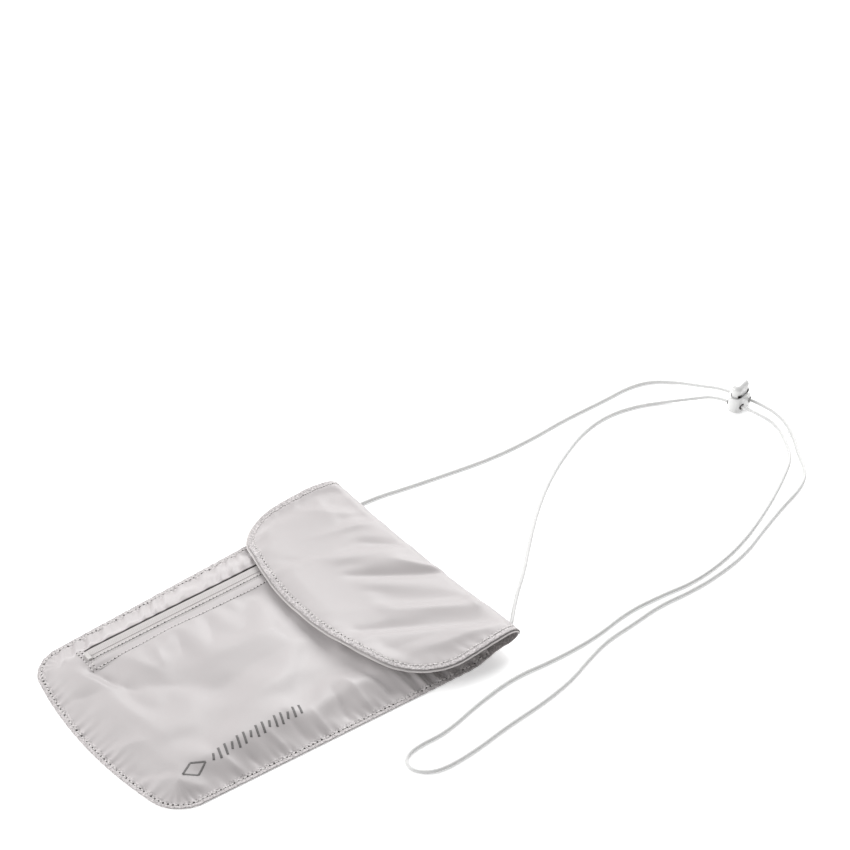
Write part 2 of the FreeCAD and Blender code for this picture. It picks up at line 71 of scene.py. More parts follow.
def make_camera():
    """A long lens to the right of the foot, looking down along the pouch."""
    away = Vector((
        math.sin(CAMERA_AZIMUTH) * math.cos(CAMERA_ELEVATION),
        -math.cos(CAMERA_AZIMUTH) * math.cos(CAMERA_ELEVATION),
        math.sin(CAMERA_ELEVATION),
    ))
    data = bpy.data.cameras.new("camera")
    data.lens = CAMERA_LENS
    camera = bpy.data.objects.new("camera", data)
    camera.location = CAMERA_TARGET + away * CAMERA_DISTANCE
    camera.rotation_euler = away.to_track_quat("Z", "Y").to_euler()
    bpy.context.scene.collection.objects.link(camera)
    bpy.context.scene.camera = camera


# ---- materials ----

# A wave texture turns through this many radians over one unit of its scaled place.
WAVE_TURN = 20


class Shader:
    """A principled material and the few node patterns that the pouch needs."""

    def __init__(self, name, colour, roughness, **sockets):
        self.material = bpy.data.materials.new(name)
        self.material.use_nodes = True
        self.nodes = self.material.node_tree.nodes
        self.links = self.material.node_tree.links
        self.surface = self.nodes["Principled BSDF"]
        self.colour = colour
        self.surface.inputs["Base Color"].default_value = (*colour, 1)
        self.surface.inputs["Roughness"].default_value = roughness
        for socket, value in sockets.items():
            self.surface.inputs[socket.replace("_", " ")].default_value = value
        self.place = self.nodes.new("ShaderNodeTexCoord").outputs["Object"]
        self.height = None

    def noise(self, period, detail=2, stretch=(1, 1, 1)):
        """Cloudy values from 0 to 1, with a period in millimetres."""
        scaled = self.nodes.new("ShaderNodeMapping")
        scaled.inputs["Scale"].default_value = stretch
        self.links.new(self.place, scaled.inputs["Vector"])
        noise = self.nodes.new("ShaderNodeTexNoise")
        noise.inputs["Scale"].default_value = 1 / (period * MM)
        noise.inputs["Detail"].default_value = detail
        self.links.new(scaled.outputs["Vector"], noise.inputs["Vector"])
        return noise.outputs["Fac"]

    def threads(self, pitch, direction):
        """Bands from 0 to 1 along an axis, with a pitch in millimetres."""
        wave = self.nodes.new("ShaderNodeTexWave")
        wave.bands_direction = direction
        wave.inputs["Scale"].default_value = 2 * math.pi / (WAVE_TURN * pitch * MM)
        wave.inputs["Distortion"].default_value = 0.6
        wave.inputs["Detail"].default_value = 1
        self.links.new(self.place, wave.inputs["Vector"])
        return wave.outputs["Fac"]

    def weave(self, pitch, slant=False):
        """The higher of two crossing sets of threads."""
        warp = self.threads(pitch, "DIAGONAL" if slant else "X")
        weft = self.threads(pitch, "Y")
        over = self.nodes.new("ShaderNodeMath")
        over.operation = "MAXIMUM"
        self.links.new(warp, over.inputs[0])
        self.links.new(weft, over.inputs[1])
        return over.outputs["Value"]

    def along_seams(self, values, elsewhere):
        """The values beside the seams, where stitches pucker the cloth, and one value elsewhere."""
        seam = self.nodes.new("ShaderNodeAttribute")
        seam.attribute_name = "seam"
        mix = self.nodes.new("ShaderNodeMix")
        mix.inputs["A"].default_value = elsewhere
        self.links.new(seam.outputs["Fac"], mix.inputs["Factor"])
        self.links.new(values, mix.inputs["B"])
        return mix.outputs["Result"]

    def tint(self, values, low, high, start=0.35, end=0.65):
        """The colour runs from low to high times itself as the values rise from start to end."""
        ramp = self.nodes.new("ShaderNodeValToRGB")
        ramp.color_ramp.elements[0].position = start
        ramp.color_ramp.elements[1].position = end
        ramp.color_ramp.elements[0].color = (*[c * low for c in self.colour], 1)
        ramp.color_ramp.elements[1].color = (*[min(1, c * high) for c in self.colour], 1)
        self.links.new(values, ramp.inputs["Fac"])
        self.links.new(ramp.outputs["Color"], self.surface.inputs["Base Color"])
        return self

    def rough(self, values, low, high):
        """The roughness runs from low to high with the values."""
        spread = self.nodes.new("ShaderNodeMapRange")
        spread.inputs["To Min"].default_value = low
        spread.inputs["To Max"].default_value = high
        self.links.new(values, spread.inputs["Value"])
        self.links.new(spread.outputs["Result"], self.surface.inputs["Roughness"])
        return self

    def relief(self, values, depth, strength=1.0):
        """The values raise the surface by up to depth millimetres."""
        bump = self.nodes.new("ShaderNodeBump")
        bump.inputs["Strength"].default_value = strength
        bump.inputs["Distance"].default_value = depth * MM
        self.links.new(values, bump.inputs["Height"])
        if self.height:
            self.links.new(self.height, bump.inputs["Normal"])
        self.height = bump.outputs["Normal"]
        self.links.new(self.height, self.surface.inputs["Normal"])
        return self


def shell_nylon():
    """The satin nylon of the outer cloth, a warm pale grey."""
    shader = Shader("shell_nylon", (0.415, 0.391, 0.392), 0.47, Specular_IOR_Level=0.5, Sheen_Weight=0.12)
    # Beside the seams the colour is mottled darker and lighter: painted light and shade of the gathered cloth
    # there.
    shader.tint(shader.along_seams(shader.noise(0.95, 2), 0.5), 0.72, 1.3, 0.36, 0.64)
    shader.relief(shader.noise(3.4, 3), 0.05, 0.5)
    shader.relief(shader.along_seams(shader.noise(1.1, 2), 0.5), 0.5, 0.8)
    shader.relief(shader.weave(0.42), 0.03, 0.6)
    return shader.material


def lining_nylon():
    """The thinner, duller cloth inside."""
    shader = Shader("lining_nylon", (0.50, 0.475, 0.47), 0.6, Specular_IOR_Level=0.3)
    shader.tint(shader.noise(14, 3), 0.95, 1.05)
    shader.relief(shader.weave(0.36), 0.03, 0.5)
    return shader.material


def tape_weave():
    """The twill of the zip's tapes."""
    shader = Shader("tape_weave", (0.44, 0.42, 0.415), 0.6, Specular_IOR_Level=0.3)
    shader.tint(shader.weave(0.7, slant=True), 0.86, 1.05, 0.3, 0.8)
    shader.relief(shader.weave(0.7, slant=True), 0.08, 0.7)
    return shader.material


def thread():
    """The sewing thread, spun and a little lighter than the cloth."""
    shader = Shader("thread", (0.62, 0.60, 0.59), 0.6, Specular_IOR_Level=0.3)
    shader.tint(shader.noise(0.5, 2), 0.85, 1.1)
    shader.relief(shader.noise(0.25, 2), 0.04, 0.6)
    return shader.material


def hole_shade_paint():
    """Painted shade: near-black for discs that stand in for the shadow inside the needle holes between
    stitches, and inside the lock's holes and slots.
    """
    shader = Shader("hole_shade_paint", (0.05, 0.046, 0.045), 0.9, Specular_IOR_Level=0.1)
    shader.tint(shader.noise(0.8, 1), 0.8, 1.2)
    return shader.material


def coil_nylon():
    """The zip's spiral teeth, a smooth monofilament."""
    shader = Shader("coil_nylon", (0.46, 0.445, 0.44), 0.36, Specular_IOR_Level=0.5)
    shader.tint(shader.noise(4, 2), 0.94, 1.04)
    shader.rough(shader.noise(2, 2), 0.26, 0.4)
    return shader.material


def slider_enamel():
    """The zip slider's matt enamel, worn a little."""
    shader = Shader("slider_enamel", (0.50, 0.485, 0.475), 0.34, Specular_IOR_Level=0.5, Coat_Weight=0.25)
    shader.tint(shader.noise(5, 3), 0.93, 1.04)
    shader.rough(shader.noise(2, 3), 0.26, 0.46)
    shader.relief(shader.noise(0.9, 2), 0.02, 0.4)
    return shader.material


def touch_tape():
    """The touch fastener, matt and fibrous."""
    shader = Shader("touch_tape", (0.52, 0.505, 0.49), 0.85, Specular_IOR_Level=0.25, Sheen_Weight=0.3)
    shader.tint(shader.noise(1.3, 3), 0.82, 1.1)
    shader.relief(shader.noise(0.6, 3), 0.15, 0.8)
    return shader.material


def cord_white():
    """The white braid of the neck cord."""
    shader = Shader("cord_white", (0.59, 0.59, 0.585), 0.5, Specular_IOR_Level=0.4, Sheen_Weight=0.1)
    shader.tint(shader.noise(1.1, 2), 0.94, 1.03)
    shader.relief(shader.noise(0.3, 2), 0.04, 0.5)
    return shader.material


def lock_plastic():
    """The glossy white plastic of the cord lock."""
    shader = Shader("lock_plastic", (0.60, 0.60, 0.595), 0.2, Specular_IOR_Level=0.5, Coat_Weight=0.4)
    shader.tint(shader.noise(9, 2), 0.98, 1.01)
    shader.rough(shader.noise(2.5, 3), 0.1, 0.24)
    shader.relief(shader.noise(3, 2), 0.03, 0.3)
    return shader.material


def spring_steel():
    """The bright wire of the lock's spring."""
    shader = Shader("spring_steel", (0.62, 0.62, 0.63), 0.28, Metallic=1.0)
    shader.rough(shader.noise(1, 2), 0.2, 0.4)
    return shader.material


def ink():
    """The printed mark's flat grey ink."""
    shader = Shader("ink", (0.135, 0.13, 0.128), 0.55, Specular_IOR_Level=0.35)
    shader.tint(shader.noise(1.2, 3), 0.85, 1.2)
    shader.relief(shader.weave(0.42), 0.02, 0.5)
    return shader.material


# Each finish is a material and the slot that it fills.
SHELL = (shell_nylon(), "shell_nylon")
LINING = (lining_nylon(), "lining_nylon")
TAPE = (tape_weave(), "zip_tape")
CUFF = (TAPE[0], "shell_nylon")
THREAD = (thread(), "shell_nylon")
# Painted shade for the needle holes, in the shell's slot.
HOLE_SHADE_PAINT = (hole_shade_paint(), "shell_nylon")
# The same painted shade, in the lock's slot, for the discs in its holes and slots.
LOCK_SHADE_PAINT = (HOLE_SHADE_PAINT[0], "lock_plastic")
COIL = (coil_nylon(), "zip_coil")
ENAMEL = slider_enamel()
TOUCH = (touch_tape(), "touch_tape")
CORD = (cord_white(), "cord_white")
PLASTIC = lock_plastic()
STEEL = spring_steel()
INK = (ink(), "shell_nylon")


# ---- meshes ----

RIPPLE_SHARES = (0.75, 1.35)
STROKE_FADE = 0.35
STROKE_BLUNT = 0.4
STROKE_SLOPE = 0.75


def new_piece(name, points, faces, finish):
    """A smooth-shaded mesh from points (across, along, up) and faces."""
    material, slot = finish
    placed = np.array(points, float) + (0, FOOT, 0)
    mesh = bpy.data.meshes.new(name)
    mesh.from_pydata((placed * MM).tolist(), [], [list(map(int, face)) for face in faces])
    mesh.polygons.foreach_set("use_smooth", [True] * len(mesh.polygons))
    mesh.materials.append(material)
    piece = bpy.data.objects.new(name, mesh)
    bpy.context.scene.collection.objects.link(piece)
    return piece


def unit(vectors):
    """The vectors at length 1."""
    return vectors / np.linalg.norm(vectors, axis=-1, keepdims=True)


def smooth(values, start, end):
    """A smooth step from 0 at start to 1 at end."""
    share = np.clip((values - start) / (end - start), 0, 1)
    return share * share * (3 - 2 * share)


def ripple(across, along, wavelength, seed, waves=7):
    """Soft unevenness of about that wavelength, mostly from -1 to 1."""
    rng = np.random.RandomState(seed)
    angles = rng.uniform(0, math.pi, waves)
    phases = rng.uniform(0, 2 * math.pi, waves)
    shares = rng.uniform(*RIPPLE_SHARES, waves)
    total = np.zeros(np.broadcast(across, along).shape)
    for angle, phase, share in zip(angles, phases, shares):
        turn = 2 * math.pi / (wavelength * share)
        total += np.sin(turn * (across * math.cos(angle) + along * math.sin(angle)) + phase)
    return total / math.sqrt(waves)


def folds(across, along, strokes):
    """Folds and dents in the cloth, crisp along their middle, each (start, end, half width, height)."""
    total = np.zeros(np.broadcast(across, along).shape)
    for (x0, y0), (x1, y1), half_width, height in strokes:
        length = math.hypot(x1 - x0, y1 - y0)
        ux, uy = (x1 - x0) / length, (y1 - y0) / length
        on = (across - x0) * ux + (along - y0) * uy
        off = (across - x0) * uy - (along - y0) * ux
        fade = length * STROKE_FADE
        window = smooth(on, -fade, fade) * smooth(length - on, -fade, fade)
        blunt = STROKE_BLUNT * half_width
        total += height * window * np.exp((blunt - np.hypot(off, blunt)) / (STROKE_SLOPE * half_width))
    return total


def grid_quads(rows, columns):
    """The faces between a grid's points, by row and column."""
    number = np.arange(rows * columns).reshape(rows, columns)
    return np.stack([number[:-1, :-1], number[:-1, 1:], number[1:, 1:], number[1:, :-1]], -1)


def ring_faces(rings, sides):
    """The faces of a closed tube: quads from each ring of points to the next, and a cap at each end."""
    number = np.arange(rings * sides).reshape(rings, sides)
    nearer, further = number[:-1], number[1:]
    quads = np.stack([nearer, np.roll(nearer, -1, 1), np.roll(further, -1, 1), further], -1)
    return [*quads.reshape(-1, 4).tolist(), number[0, ::-1].tolist(), number[-1].tolist()]


def tube(path, off_path, radius, sides):
    """Points and faces of a tube along a path, which never runs in the direction off_path.

    The radius is one number, or one for each place on the path and each side.
    """
    ahead = unit(np.gradient(path, axis=0))
    beside = unit(np.cross(ahead, off_path))
    above = np.cross(beside, ahead)
    angle = np.arange(sides) * 2 * math.pi / sides
    ring = beside[:, None] * np.cos(angle)[None, :, None] + above[:, None] * np.sin(angle)[None, :, None]
    points = path[:, None] + ring * np.broadcast_to(radius, ring.shape[:2])[..., None]
    return points.reshape(-1, 3), ring_faces(len(path), sides)


def lathe(stations, radii, sides, flat=1.0):
    """A closed shape along its first axis: rings at the stations, with those radii, and a cap at each end."""
    angles = np.arange(sides) * 2 * math.pi / sides
    shape = [(station, radius * math.cos(angle), flat * radius * math.sin(angle))
             for station, radius in zip(stations, radii) for angle in angles]
    return np.array(shape), ring_faces(len(stations), sides)


def stamp(name, centres, tangents, normals, shape, faces, finish, sizes=1.0):
    """Copies of one small shape, its (along, side, up) turned to each tangent and normal."""
    tangents = unit(tangents - normals * np.sum(tangents * normals, -1, keepdims=True))
    sides = np.cross(normals, tangents)
    grown = shape[None] * np.broadcast_to(sizes, len(centres))[:, None, None]
    points = (centres[:, None] + tangents[:, None] * grown[..., :1] + sides[:, None] * grown[..., 1:2]
              + normals[:, None] * grown[..., 2:])
    all_faces = [[corner + copy * len(shape) for corner in face]
                 for copy in range(len(centres)) for face in faces]
    return new_piece(name, points.reshape(-1, 3), all_faces, finish)


# ---- the cut of the cloth ----

SETTLE_STEPS = 4
CORNER_STEPS = 30
SIDE_STEPS = 200
EDGE_STEPS = 160


class Outline:
    """A panel with slanting sides, two round corners and a bowed edge at its low end.

    The lines of its cut grid run straight within straight of its middle, and fan out to its sides beyond.
    """

    def __init__(self, start, end, start_half, end_half, bow, corners, straight=57.0):
        self.start = start
        self.end = end
        self.start_half = start_half
        self.end_half = end_half
        self.bow = bow
        self.corners = corners
        self.straight = straight

    def half(self, along):
        """Half the panel's width."""
        share = (along - self.start - self.bow) / (self.end - self.start - self.bow)
        return self.start_half + (self.end_half - self.start_half) * share

    def low_edge(self, across):
        """The bowed edge, before its corners are rounded."""
        return self.start + self.bow * (across / self.start_half) ** 2

    def corner(self, across):
        """The corner's radius on that side."""
        return np.where(across < 0, self.corners[0], self.corners[1])

    def insets(self, across, along):
        """Distances in from the side and up from the low edge."""
        return self.half(along) - np.abs(across), along - self.low_edge(across)

    def depth(self, across, along):
        """How far in from the outline a place is."""
        side, low = self.insets(across, along)
        radius = self.corner(across)
        rounded = radius - np.hypot(radius - np.minimum(side, radius), radius - np.minimum(low, radius))
        return np.where((side < radius) & (low < radius), rounded, np.minimum(side, low))

    def run(self, across, along):
        """How far along the outline the nearest place is, from the middle of the low edge."""
        side, low = self.insets(across, along)
        radius = self.corner(across)
        straight = self.start_half - radius
        angle = np.arctan2(np.maximum(radius - side, 1e-6), np.maximum(radius - low, 1e-6))
        by_corner = straight + radius * angle
        by_side = straight + radius * math.pi / 2 + low - radius
        by_edge = np.where(side < low, by_side, np.abs(across))
        return np.where((side < radius) & (low < radius), by_corner, by_edge) * np.sign(across)

    def place(self, wide, long):
        """The places of a cut grid: wide is a share of half the width, long is up from the low edge."""
        sign = np.sign(wide)
        reach = np.abs(wide) * self.end_half
        flat = self.straight
        radius = self.corner(wide)
        across = sign * reach
        bowed = 1 - smooth(long, max(self.corners), 2 * max(self.corners))
        for _ in range(SETTLE_STEPS):
            along = long + self.start + (self.low_edge(across) - self.start) * bowed
            half = self.half(along)
            fanned = flat + (reach - flat) * (half - flat) / (self.end_half - flat)
            side = half - np.where(reach > flat, fanned, reach)
            in_corner = (side < radius) & (long < radius)
            p = np.clip(1 - side / radius, 0, 1)
            q = np.clip(1 - long / radius, 0, 1)
            round_side = np.where(in_corner, radius * (1 - p * np.sqrt(1 - q * q / 2)), side)
            round_low = np.where(in_corner, radius * (1 - q * np.sqrt(1 - p * p / 2)), long)
            across = sign * (half - round_side)
        return across, round_low + self.start + (self.low_edge(across) - self.start) * bowed

    def rim(self, inset, top):
        """Close places along the outline at that inset, from the top of the left side round to the right."""
        sides = []
        for sign, radius in zip((-1, 1), self.corners):
            turn = np.linspace(0, math.pi / 2, CORNER_STEPS)
            side = radius - (radius - inset) * np.sin(turn)
            low = radius - (radius - inset) * np.cos(turn)
            low = np.concatenate([low, np.linspace(radius, top, SIDE_STEPS)[1:]])
            side = np.concatenate([side, np.full(SIDE_STEPS - 1, float(inset))])
            across = sign * (self.start_half - side)
            for _ in range(SETTLE_STEPS):
                along = low + self.low_edge(across)
                across = sign * (self.half(along) - side)
            sides.append(np.stack([across, along], -1))
        middle = np.linspace(sides[0][0][0], sides[1][0][0], EDGE_STEPS)[1:-1]
        middle = np.stack([middle, self.low_edge(middle) + inset], -1)
        return np.concatenate([sides[0][::-1], middle, sides[1]])


def evenly(line, pitch):
    """Places a pitch apart along a line of close places."""
    steps = np.concatenate([[0], np.cumsum(np.linalg.norm(np.diff(line, axis=0), axis=1))])
    stops = np.linspace(0, steps[-1], max(2, int(round(steps[-1] / pitch)) + 1))
    return np.stack([np.interp(stops, steps, line[:, axis]) for axis in range(line.shape[1])], -1)


def spread(*stops):
    """Grid lines through each stop, given as stop, number of steps, stop, ..."""
    lines = [np.array([float(stops[0])])]
    for start, steps, end in zip(stops[::2], stops[1::2], stops[2::2]):
        lines.append(np.linspace(start, end, steps + 1)[1:])
    return np.concatenate(lines)


# ---- measures ----

POUCH = Outline(start=0, end=202.8, start_half=65, end_half=75, bow=9, corners=(14, 14))
FLAP = Outline(start=130, end=202.9, start_half=77, end_half=76, bow=17, corners=(20, 27), straight=45.0)
FLAP_SHIFT = -3.8
LINING_REACH = 1.1
MOUTH = 190.0

SHEET = 0.42
LINING_SHEET = 0.4
BACK_LEVEL = 0.52
RIM_LEVEL = 1.0
FRONT_LEVEL = 8.3
FLAP_LEVEL = 12.3

# The fold at the pouch's head: half an oval from the back cloth round to the flap.
FOLD_ALONG = 199.0
FOLD_UP = 7.3
FOLD_REACH = 6.4
FOLD_RISE = 7.2
FOLD_CLOTH = 10.6
FOLD_MIDDLE = FOLD_ALONG + FOLD_CLOTH

SEAM_INSET = 2.1
# Seam reach and fade: the zone beside the seams where the shell is bumped and its colour mottled with painted
# light and shade.
SEAM_REACH = 4.6
SEAM_FADE = 1.5
FLAP_SEAM_INSET = 2.8
STITCH_PITCH = 2.45

ZIP_LEFT = -50.2
ZIP_RIGHT = -40.4
ZIP_FOOT = 31.0
ZIP_TOP = 183.0
ZIP_LEVEL = 7.9
COIL_ACROSS = -44.5

# The zip's pull lies under the flap, which is kept off it.
PULL_ALONG = 166.0
PULL_REACH = 21.0

# The touch fastener's two patches, one over the other.
PAD_HALF = 22.0
PAD_START = 141.0
PAD_END = 157.0
PAD_FADE = 11.0


# ---- surfaces ----

# Soft unevenness, each wave (height, wavelength, seed).
FRONT_WAVES = ((0.5, 62, 3), (0.22, 24, 4))
FLAP_WAVE = (0.45, 38, 21)

# Each fold or dent is (start, end, half width, height), its ends (across, along).
FRONT_FOLDS = (
    ((-40, 26), (-24, 31), 3.0, -1.6),
    ((-28, 30), (-12, 37), 4.2, -2.0),
    ((-14, 37), (4, 62), 7.0, -1.6),
    ((-42, 20), (-20, 27), 3.2, 0.9),
    ((-34, 44), (-14, 52), 5.0, 0.9),
    ((-31, 60), (-18, 57), 3.2, 0.8),
    ((-30, 74), (-18, 69), 3.0, -0.6),
    ((-31, 92), (-14, 84), 4.5, -0.8),
    ((-20, 24), (22, 30), 6.5, 1.2),
    ((-52, 14), (-8, 10), 4.5, 0.8),
    ((-6, 70), (-4, 116), 8.0, 1.2),
    ((14, 60), (10, 112), 8.0, -1.1),
    ((30, 70), (27, 110), 7.0, 0.8),
    ((52, 45), (68, 50), 2.6, 1.2),
    ((57, 56), (69, 60), 2.2, -0.9),
    ((50, 70), (68, 76), 2.6, 0.9),
    ((50, 84), (70, 86), 2.6, -0.8),
    ((53, 96), (71, 98), 2.6, 0.9),
    ((50, 112), (72, 108), 3.2, -1.4),
    ((44, 121), (68, 122), 3.6, 1.5),
    ((40, 10), (60, 28), 4.5, 1.2),
    ((30, 6), (44, 20), 3.6, -0.9),
    ((12, 5), (20, 20), 3.2, 0.7),
    ((-30, 6), (-22, 20), 3.0, -0.6),
    ((-30, 127), (34, 127), 10.0, -1.3),
    ((48, 132), (72, 140), 3.2, -1.4),
    ((50, 146), (73, 152), 3.4, 1.4),
    ((54, 160), (74, 166), 3.0, -1.3),
    ((52, 174), (74, 177), 3.0, 1.2),
)

FLAP_FOLDS = (
    ((0, 190), (20, 206), 2.8, 1.3),
    ((-5, 167), (20, 203), 3.6, -1.5),
    ((-24, 186), (-9, 199), 3.2, -0.7),
    ((-26, 147), (-6, 203), 6.5, 0.9),
    ((7, 135), (52, 204), 5.5, 1.0),
    ((22, 132), (60, 192), 5.0, -1.0),
    ((-70, 176), (-76, 192), 4.0, -0.6),
    ((-70, 187), (-48, 184), 4.0, 0.6),
    ((-60, 150), (-38, 196), 7.0, -0.2),
    ((52, 150), (56, 176), 4.5, -0.6),
    ((40, 204), (54, 198), 3.0, 0.7),
    ((60, 160), (70, 200), 4.0, 0.7),
    ((-42, 170), (-32, 204), 3.0, 0.6),
)

POUCH_PUCKER = {"height": 0.5, "pitch": 5.4, "seed": 11}
FLAP_PUCKER = {"height": 0.26, "pitch": 6.3, "seed": 31}
PUCKER_DRIFT = 2.2
PUCKER_DRIFT_LENGTH = 46
PUCKER_UNEVEN = 0.45
PUCKER_UNEVEN_LENGTH = 21
PUCKER_EDGE = 2.4
PUCKER_EDGE_SHARE = 0.45
PUCKER_FALL_START = 3.0
STITCH_DIP = 0.17
STITCH_DIP_HALF = 0.8
STITCH_DIP_WAVE = 0.4
PLEAT_PITCH = 9.6
PLEAT_DRIFT = 1.6
PLEAT_STEEPNESS = 0.35
PLEAT_UNEVEN = 0.25


def pucker(outline, across, along, height, pitch, seed, reach):
    """Gathers that the edge stitching pulls into the cloth."""
    run = outline.run(across, along)
    depth = outline.depth(across, along)
    drift = ripple(run, 0 * run, PUCKER_DRIFT_LENGTH, seed) * PUCKER_DRIFT
    uneven = 1 - PUCKER_UNEVEN + PUCKER_UNEVEN * ripple(run, 0 * run, PUCKER_UNEVEN_LENGTH, seed + 1)
    wave = np.sin(2 * math.pi * run / pitch + drift) * uneven
    fall = np.exp(-np.maximum(depth - PUCKER_FALL_START, 0) / reach)
    return height * wave * np.where(depth < PUCKER_EDGE, PUCKER_EDGE_SHARE, fall)


def stitch_dip(outline, across, along, inset):
    """How far each stitch of a row, inset from the edge, pulls the cloth down."""
    run = outline.run(across, along)
    pull = 1 - STITCH_DIP_WAVE + STITCH_DIP_WAVE * np.cos(2 * math.pi * run / STITCH_PITCH)
    off = (outline.depth(across, along) - inset) / STITCH_DIP_HALF
    return STITCH_DIP * pull * np.exp(-off ** 2)


def pleats(along):
    """Uneven pleats, steep on one side, from -1 to 1."""
    turn = 2 * math.pi * along / PLEAT_PITCH + PLEAT_DRIFT * ripple(along, 0 * along, 47, 8)
    uneven = 1 - PLEAT_UNEVEN + PLEAT_UNEVEN * ripple(along, 0 * along, 33, 9)
    return (np.sin(turn) + PLEAT_STEEPNESS * np.sin(2 * turn)) * uneven


def away_from_pads(across, along):
    """1 away from the touch fastener, falling to 0 over it, where the cloth is held flat."""
    beside = np.maximum(np.abs(across) - PAD_HALF, 0)
    beyond = np.maximum(np.abs(along - (PAD_START + PAD_END) / 2) - (PAD_END - PAD_START) / 2, 0)
    return smooth(np.hypot(beside, beyond), 0, PAD_FADE)


# The front's zones, each the stretch (start, end) over which it comes in: from the rim, across or along.
SWELL_IN = (2.0, 20.6)
WAVES_IN = (3, 16)
FOLDS_IN = (1, 9)
PLEATS_IN = (0, 4)
FOOT_ZONE = (6, 58)
HOLLOW_ACROSS = (20, 60)
HOLLOW_ALONG = (60, 110)
LEFT_STRIP = (49.5, 53)
RIGHT_STRIP = (44, 56)
UNDER_FLAP = (138, 158)
ZIP_BAND_FOOT = (14, 38)

SWELL_POWER = 0.8
FOOT_SHARE = 0.56
HOLLOW = 0.9
ZIP_BAND_HALF = 5.5
ZIP_BAND_FADE = 3.0
ZIP_BAND_FLAT = 0.92
ZIP_BAND_UNGATHERED = 0.8
FRONT_PUCKER_REACH = 3.6
LEFT_PLEATS = 0.8
LEFT_PLEAT_SLANT = 0.5
RIGHT_PLEATS = 1.2
RIGHT_PLEAT_SLANT = 0.35
RIGHT_PLEAT_CLOSENESS = 1.3
LEAST_GAP = 0.1


def round_zip(across, along):
    """1 on the flat band round the zip, falling to 0 beside it and below it."""
    beside = np.maximum(np.abs(across - COIL_ACROSS) - ZIP_BAND_HALF, 0)
    return np.exp(-(beside / ZIP_BAND_FADE) ** 2) * smooth(along, *ZIP_BAND_FOOT)


def front_base(across, along):
    """The level of the stuffed front, before its wrinkles and seams."""
    swell = smooth(POUCH.depth(across, along), *SWELL_IN) ** SWELL_POWER
    swell = swell * (FOOT_SHARE + (1 - FOOT_SHARE) * smooth(along, *FOOT_ZONE))
    return RIM_LEVEL + (FRONT_LEVEL - RIM_LEVEL) * swell


def front_wrinkles(across, along):
    """The front's soft unevenness, the hollow on its right, and its folds."""
    depth = POUCH.depth(across, along)
    soft = sum(height * ripple(across, along, length, seed) for height, length, seed in FRONT_WAVES)
    soft = soft - HOLLOW * smooth(across, *HOLLOW_ACROSS) * smooth(along, *HOLLOW_ALONG)
    soft = soft * smooth(depth, *WAVES_IN) + folds(across, along, FRONT_FOLDS) * smooth(depth, *FOLDS_IN)
    return soft * away_from_pads(across, along)


def front_up(across, along):
    """The level of the front cloth's outer face."""
    depth = POUCH.depth(across, along)
    level = front_base(across, along) + front_wrinkles(across, along) + FRONT_SLACK(across, along)
    band = round_zip(across, along)
    level = level + (ZIP_LEVEL - level) * band * ZIP_BAND_FLAT
    gathers = pucker(POUCH, across, along, reach=FRONT_PUCKER_REACH, **POUCH_PUCKER)
    level = level + gathers * (1 - ZIP_BAND_UNGATHERED * band)
    left = smooth(-across, *LEFT_STRIP) * smooth(depth, *PLEATS_IN)
    level = level + LEFT_PLEATS * left * pleats(along + LEFT_PLEAT_SLANT * across)
    right = smooth(across, *RIGHT_STRIP) * smooth(depth, *PLEATS_IN) * smooth(along, *UNDER_FLAP)
    slanted = RIGHT_PLEAT_CLOSENESS * along - RIGHT_PLEAT_SLANT * across
    level = level + RIGHT_PLEATS * right * pleats(slanted)
    level = np.maximum(level - stitch_dip(POUCH, across, along, SEAM_INSET), SHEET + LEAST_GAP)
    return level + head_lift(across, along)


def front_point(across, along, drop=0.0):
    """A place on the front cloth, drop below its outer face."""
    return np.stack([across, along, front_up(across, along) - drop], -1)


FLAP_REST = 2.7
FLAP_REST_RIGHT = 2.6
REST_RISES = (-30, 50)
DRAPE_REACH = 13
DRAPE_TOP = 176
DRAPE_FADE = 30
FLAP_SIDE = (44, 66)
RIGHT_SIDE_FREE = 0.85
LEFT_SIDE_FREE = 0.5
FLAP_INSIDE = (2.5, 13)
OVER_PADS = 0.25
WING = (46, 80)
WING_FADE = 40
WING_DROP = 1.7
FLAP_EDGE_RISE = 0.5
FLAP_EDGE_REACH = 26
FLAP_PUCKER_REACH = 3.2
OFF_FOLD = (-2, 10)


def flap_drape(across, along):
    """How fully the flap follows the front below it: most at its edge, and not at all by the fold."""
    drape = smooth(DRAPE_REACH - FLAP.depth(across, along), 0, DRAPE_REACH)
    drape = drape * smooth(DRAPE_TOP - along, 0, DRAPE_FADE)
    drape = drape * (1 - RIGHT_SIDE_FREE * smooth(across, *FLAP_SIDE))
    return drape * (1 - LEFT_SIDE_FREE * smooth(-across, *FLAP_SIDE))


def flap_swell(across, along):
    """How far the flap's outer face stands off its flat shape."""
    height, length, seed = FLAP_WAVE
    soft = height * ripple(across * 0.75, along * 0.55 - across * 0.4, length, seed)
    inside = smooth(FLAP.depth(across, along), *FLAP_INSIDE)
    free = OVER_PADS + (1 - OVER_PADS) * away_from_pads(across, along)
    swell = (soft + folds(across, along, FLAP_FOLDS)) * inside * free
    wing = smooth(np.abs(across), *WING) * smooth(FOLD_ALONG - along, 0, WING_FADE)
    edge = smooth(FLAP.start + FLAP_EDGE_REACH - along, 0, FLAP_EDGE_REACH)
    swell = swell - WING_DROP * wing + FLAP_EDGE_RISE * edge * (1 - wing)
    gathers = pucker(FLAP, across, along, reach=FLAP_PUCKER_REACH, **FLAP_PUCKER)
    swell = swell + gathers * smooth(FOLD_ALONG - along, *OFF_FOLD)
    below = front_base(across + FLAP_SHIFT, along) + FRONT_SLACK(across + FLAP_SHIFT, along)
    below = below + FLAP_REST + FLAP_REST_RIGHT * smooth(across, *REST_RISES)
    swell = swell + (below - FLAP_LEVEL - swell) * flap_drape(across, along)
    return swell - stitch_dip(FLAP, across, along, FLAP_SEAM_INSET)


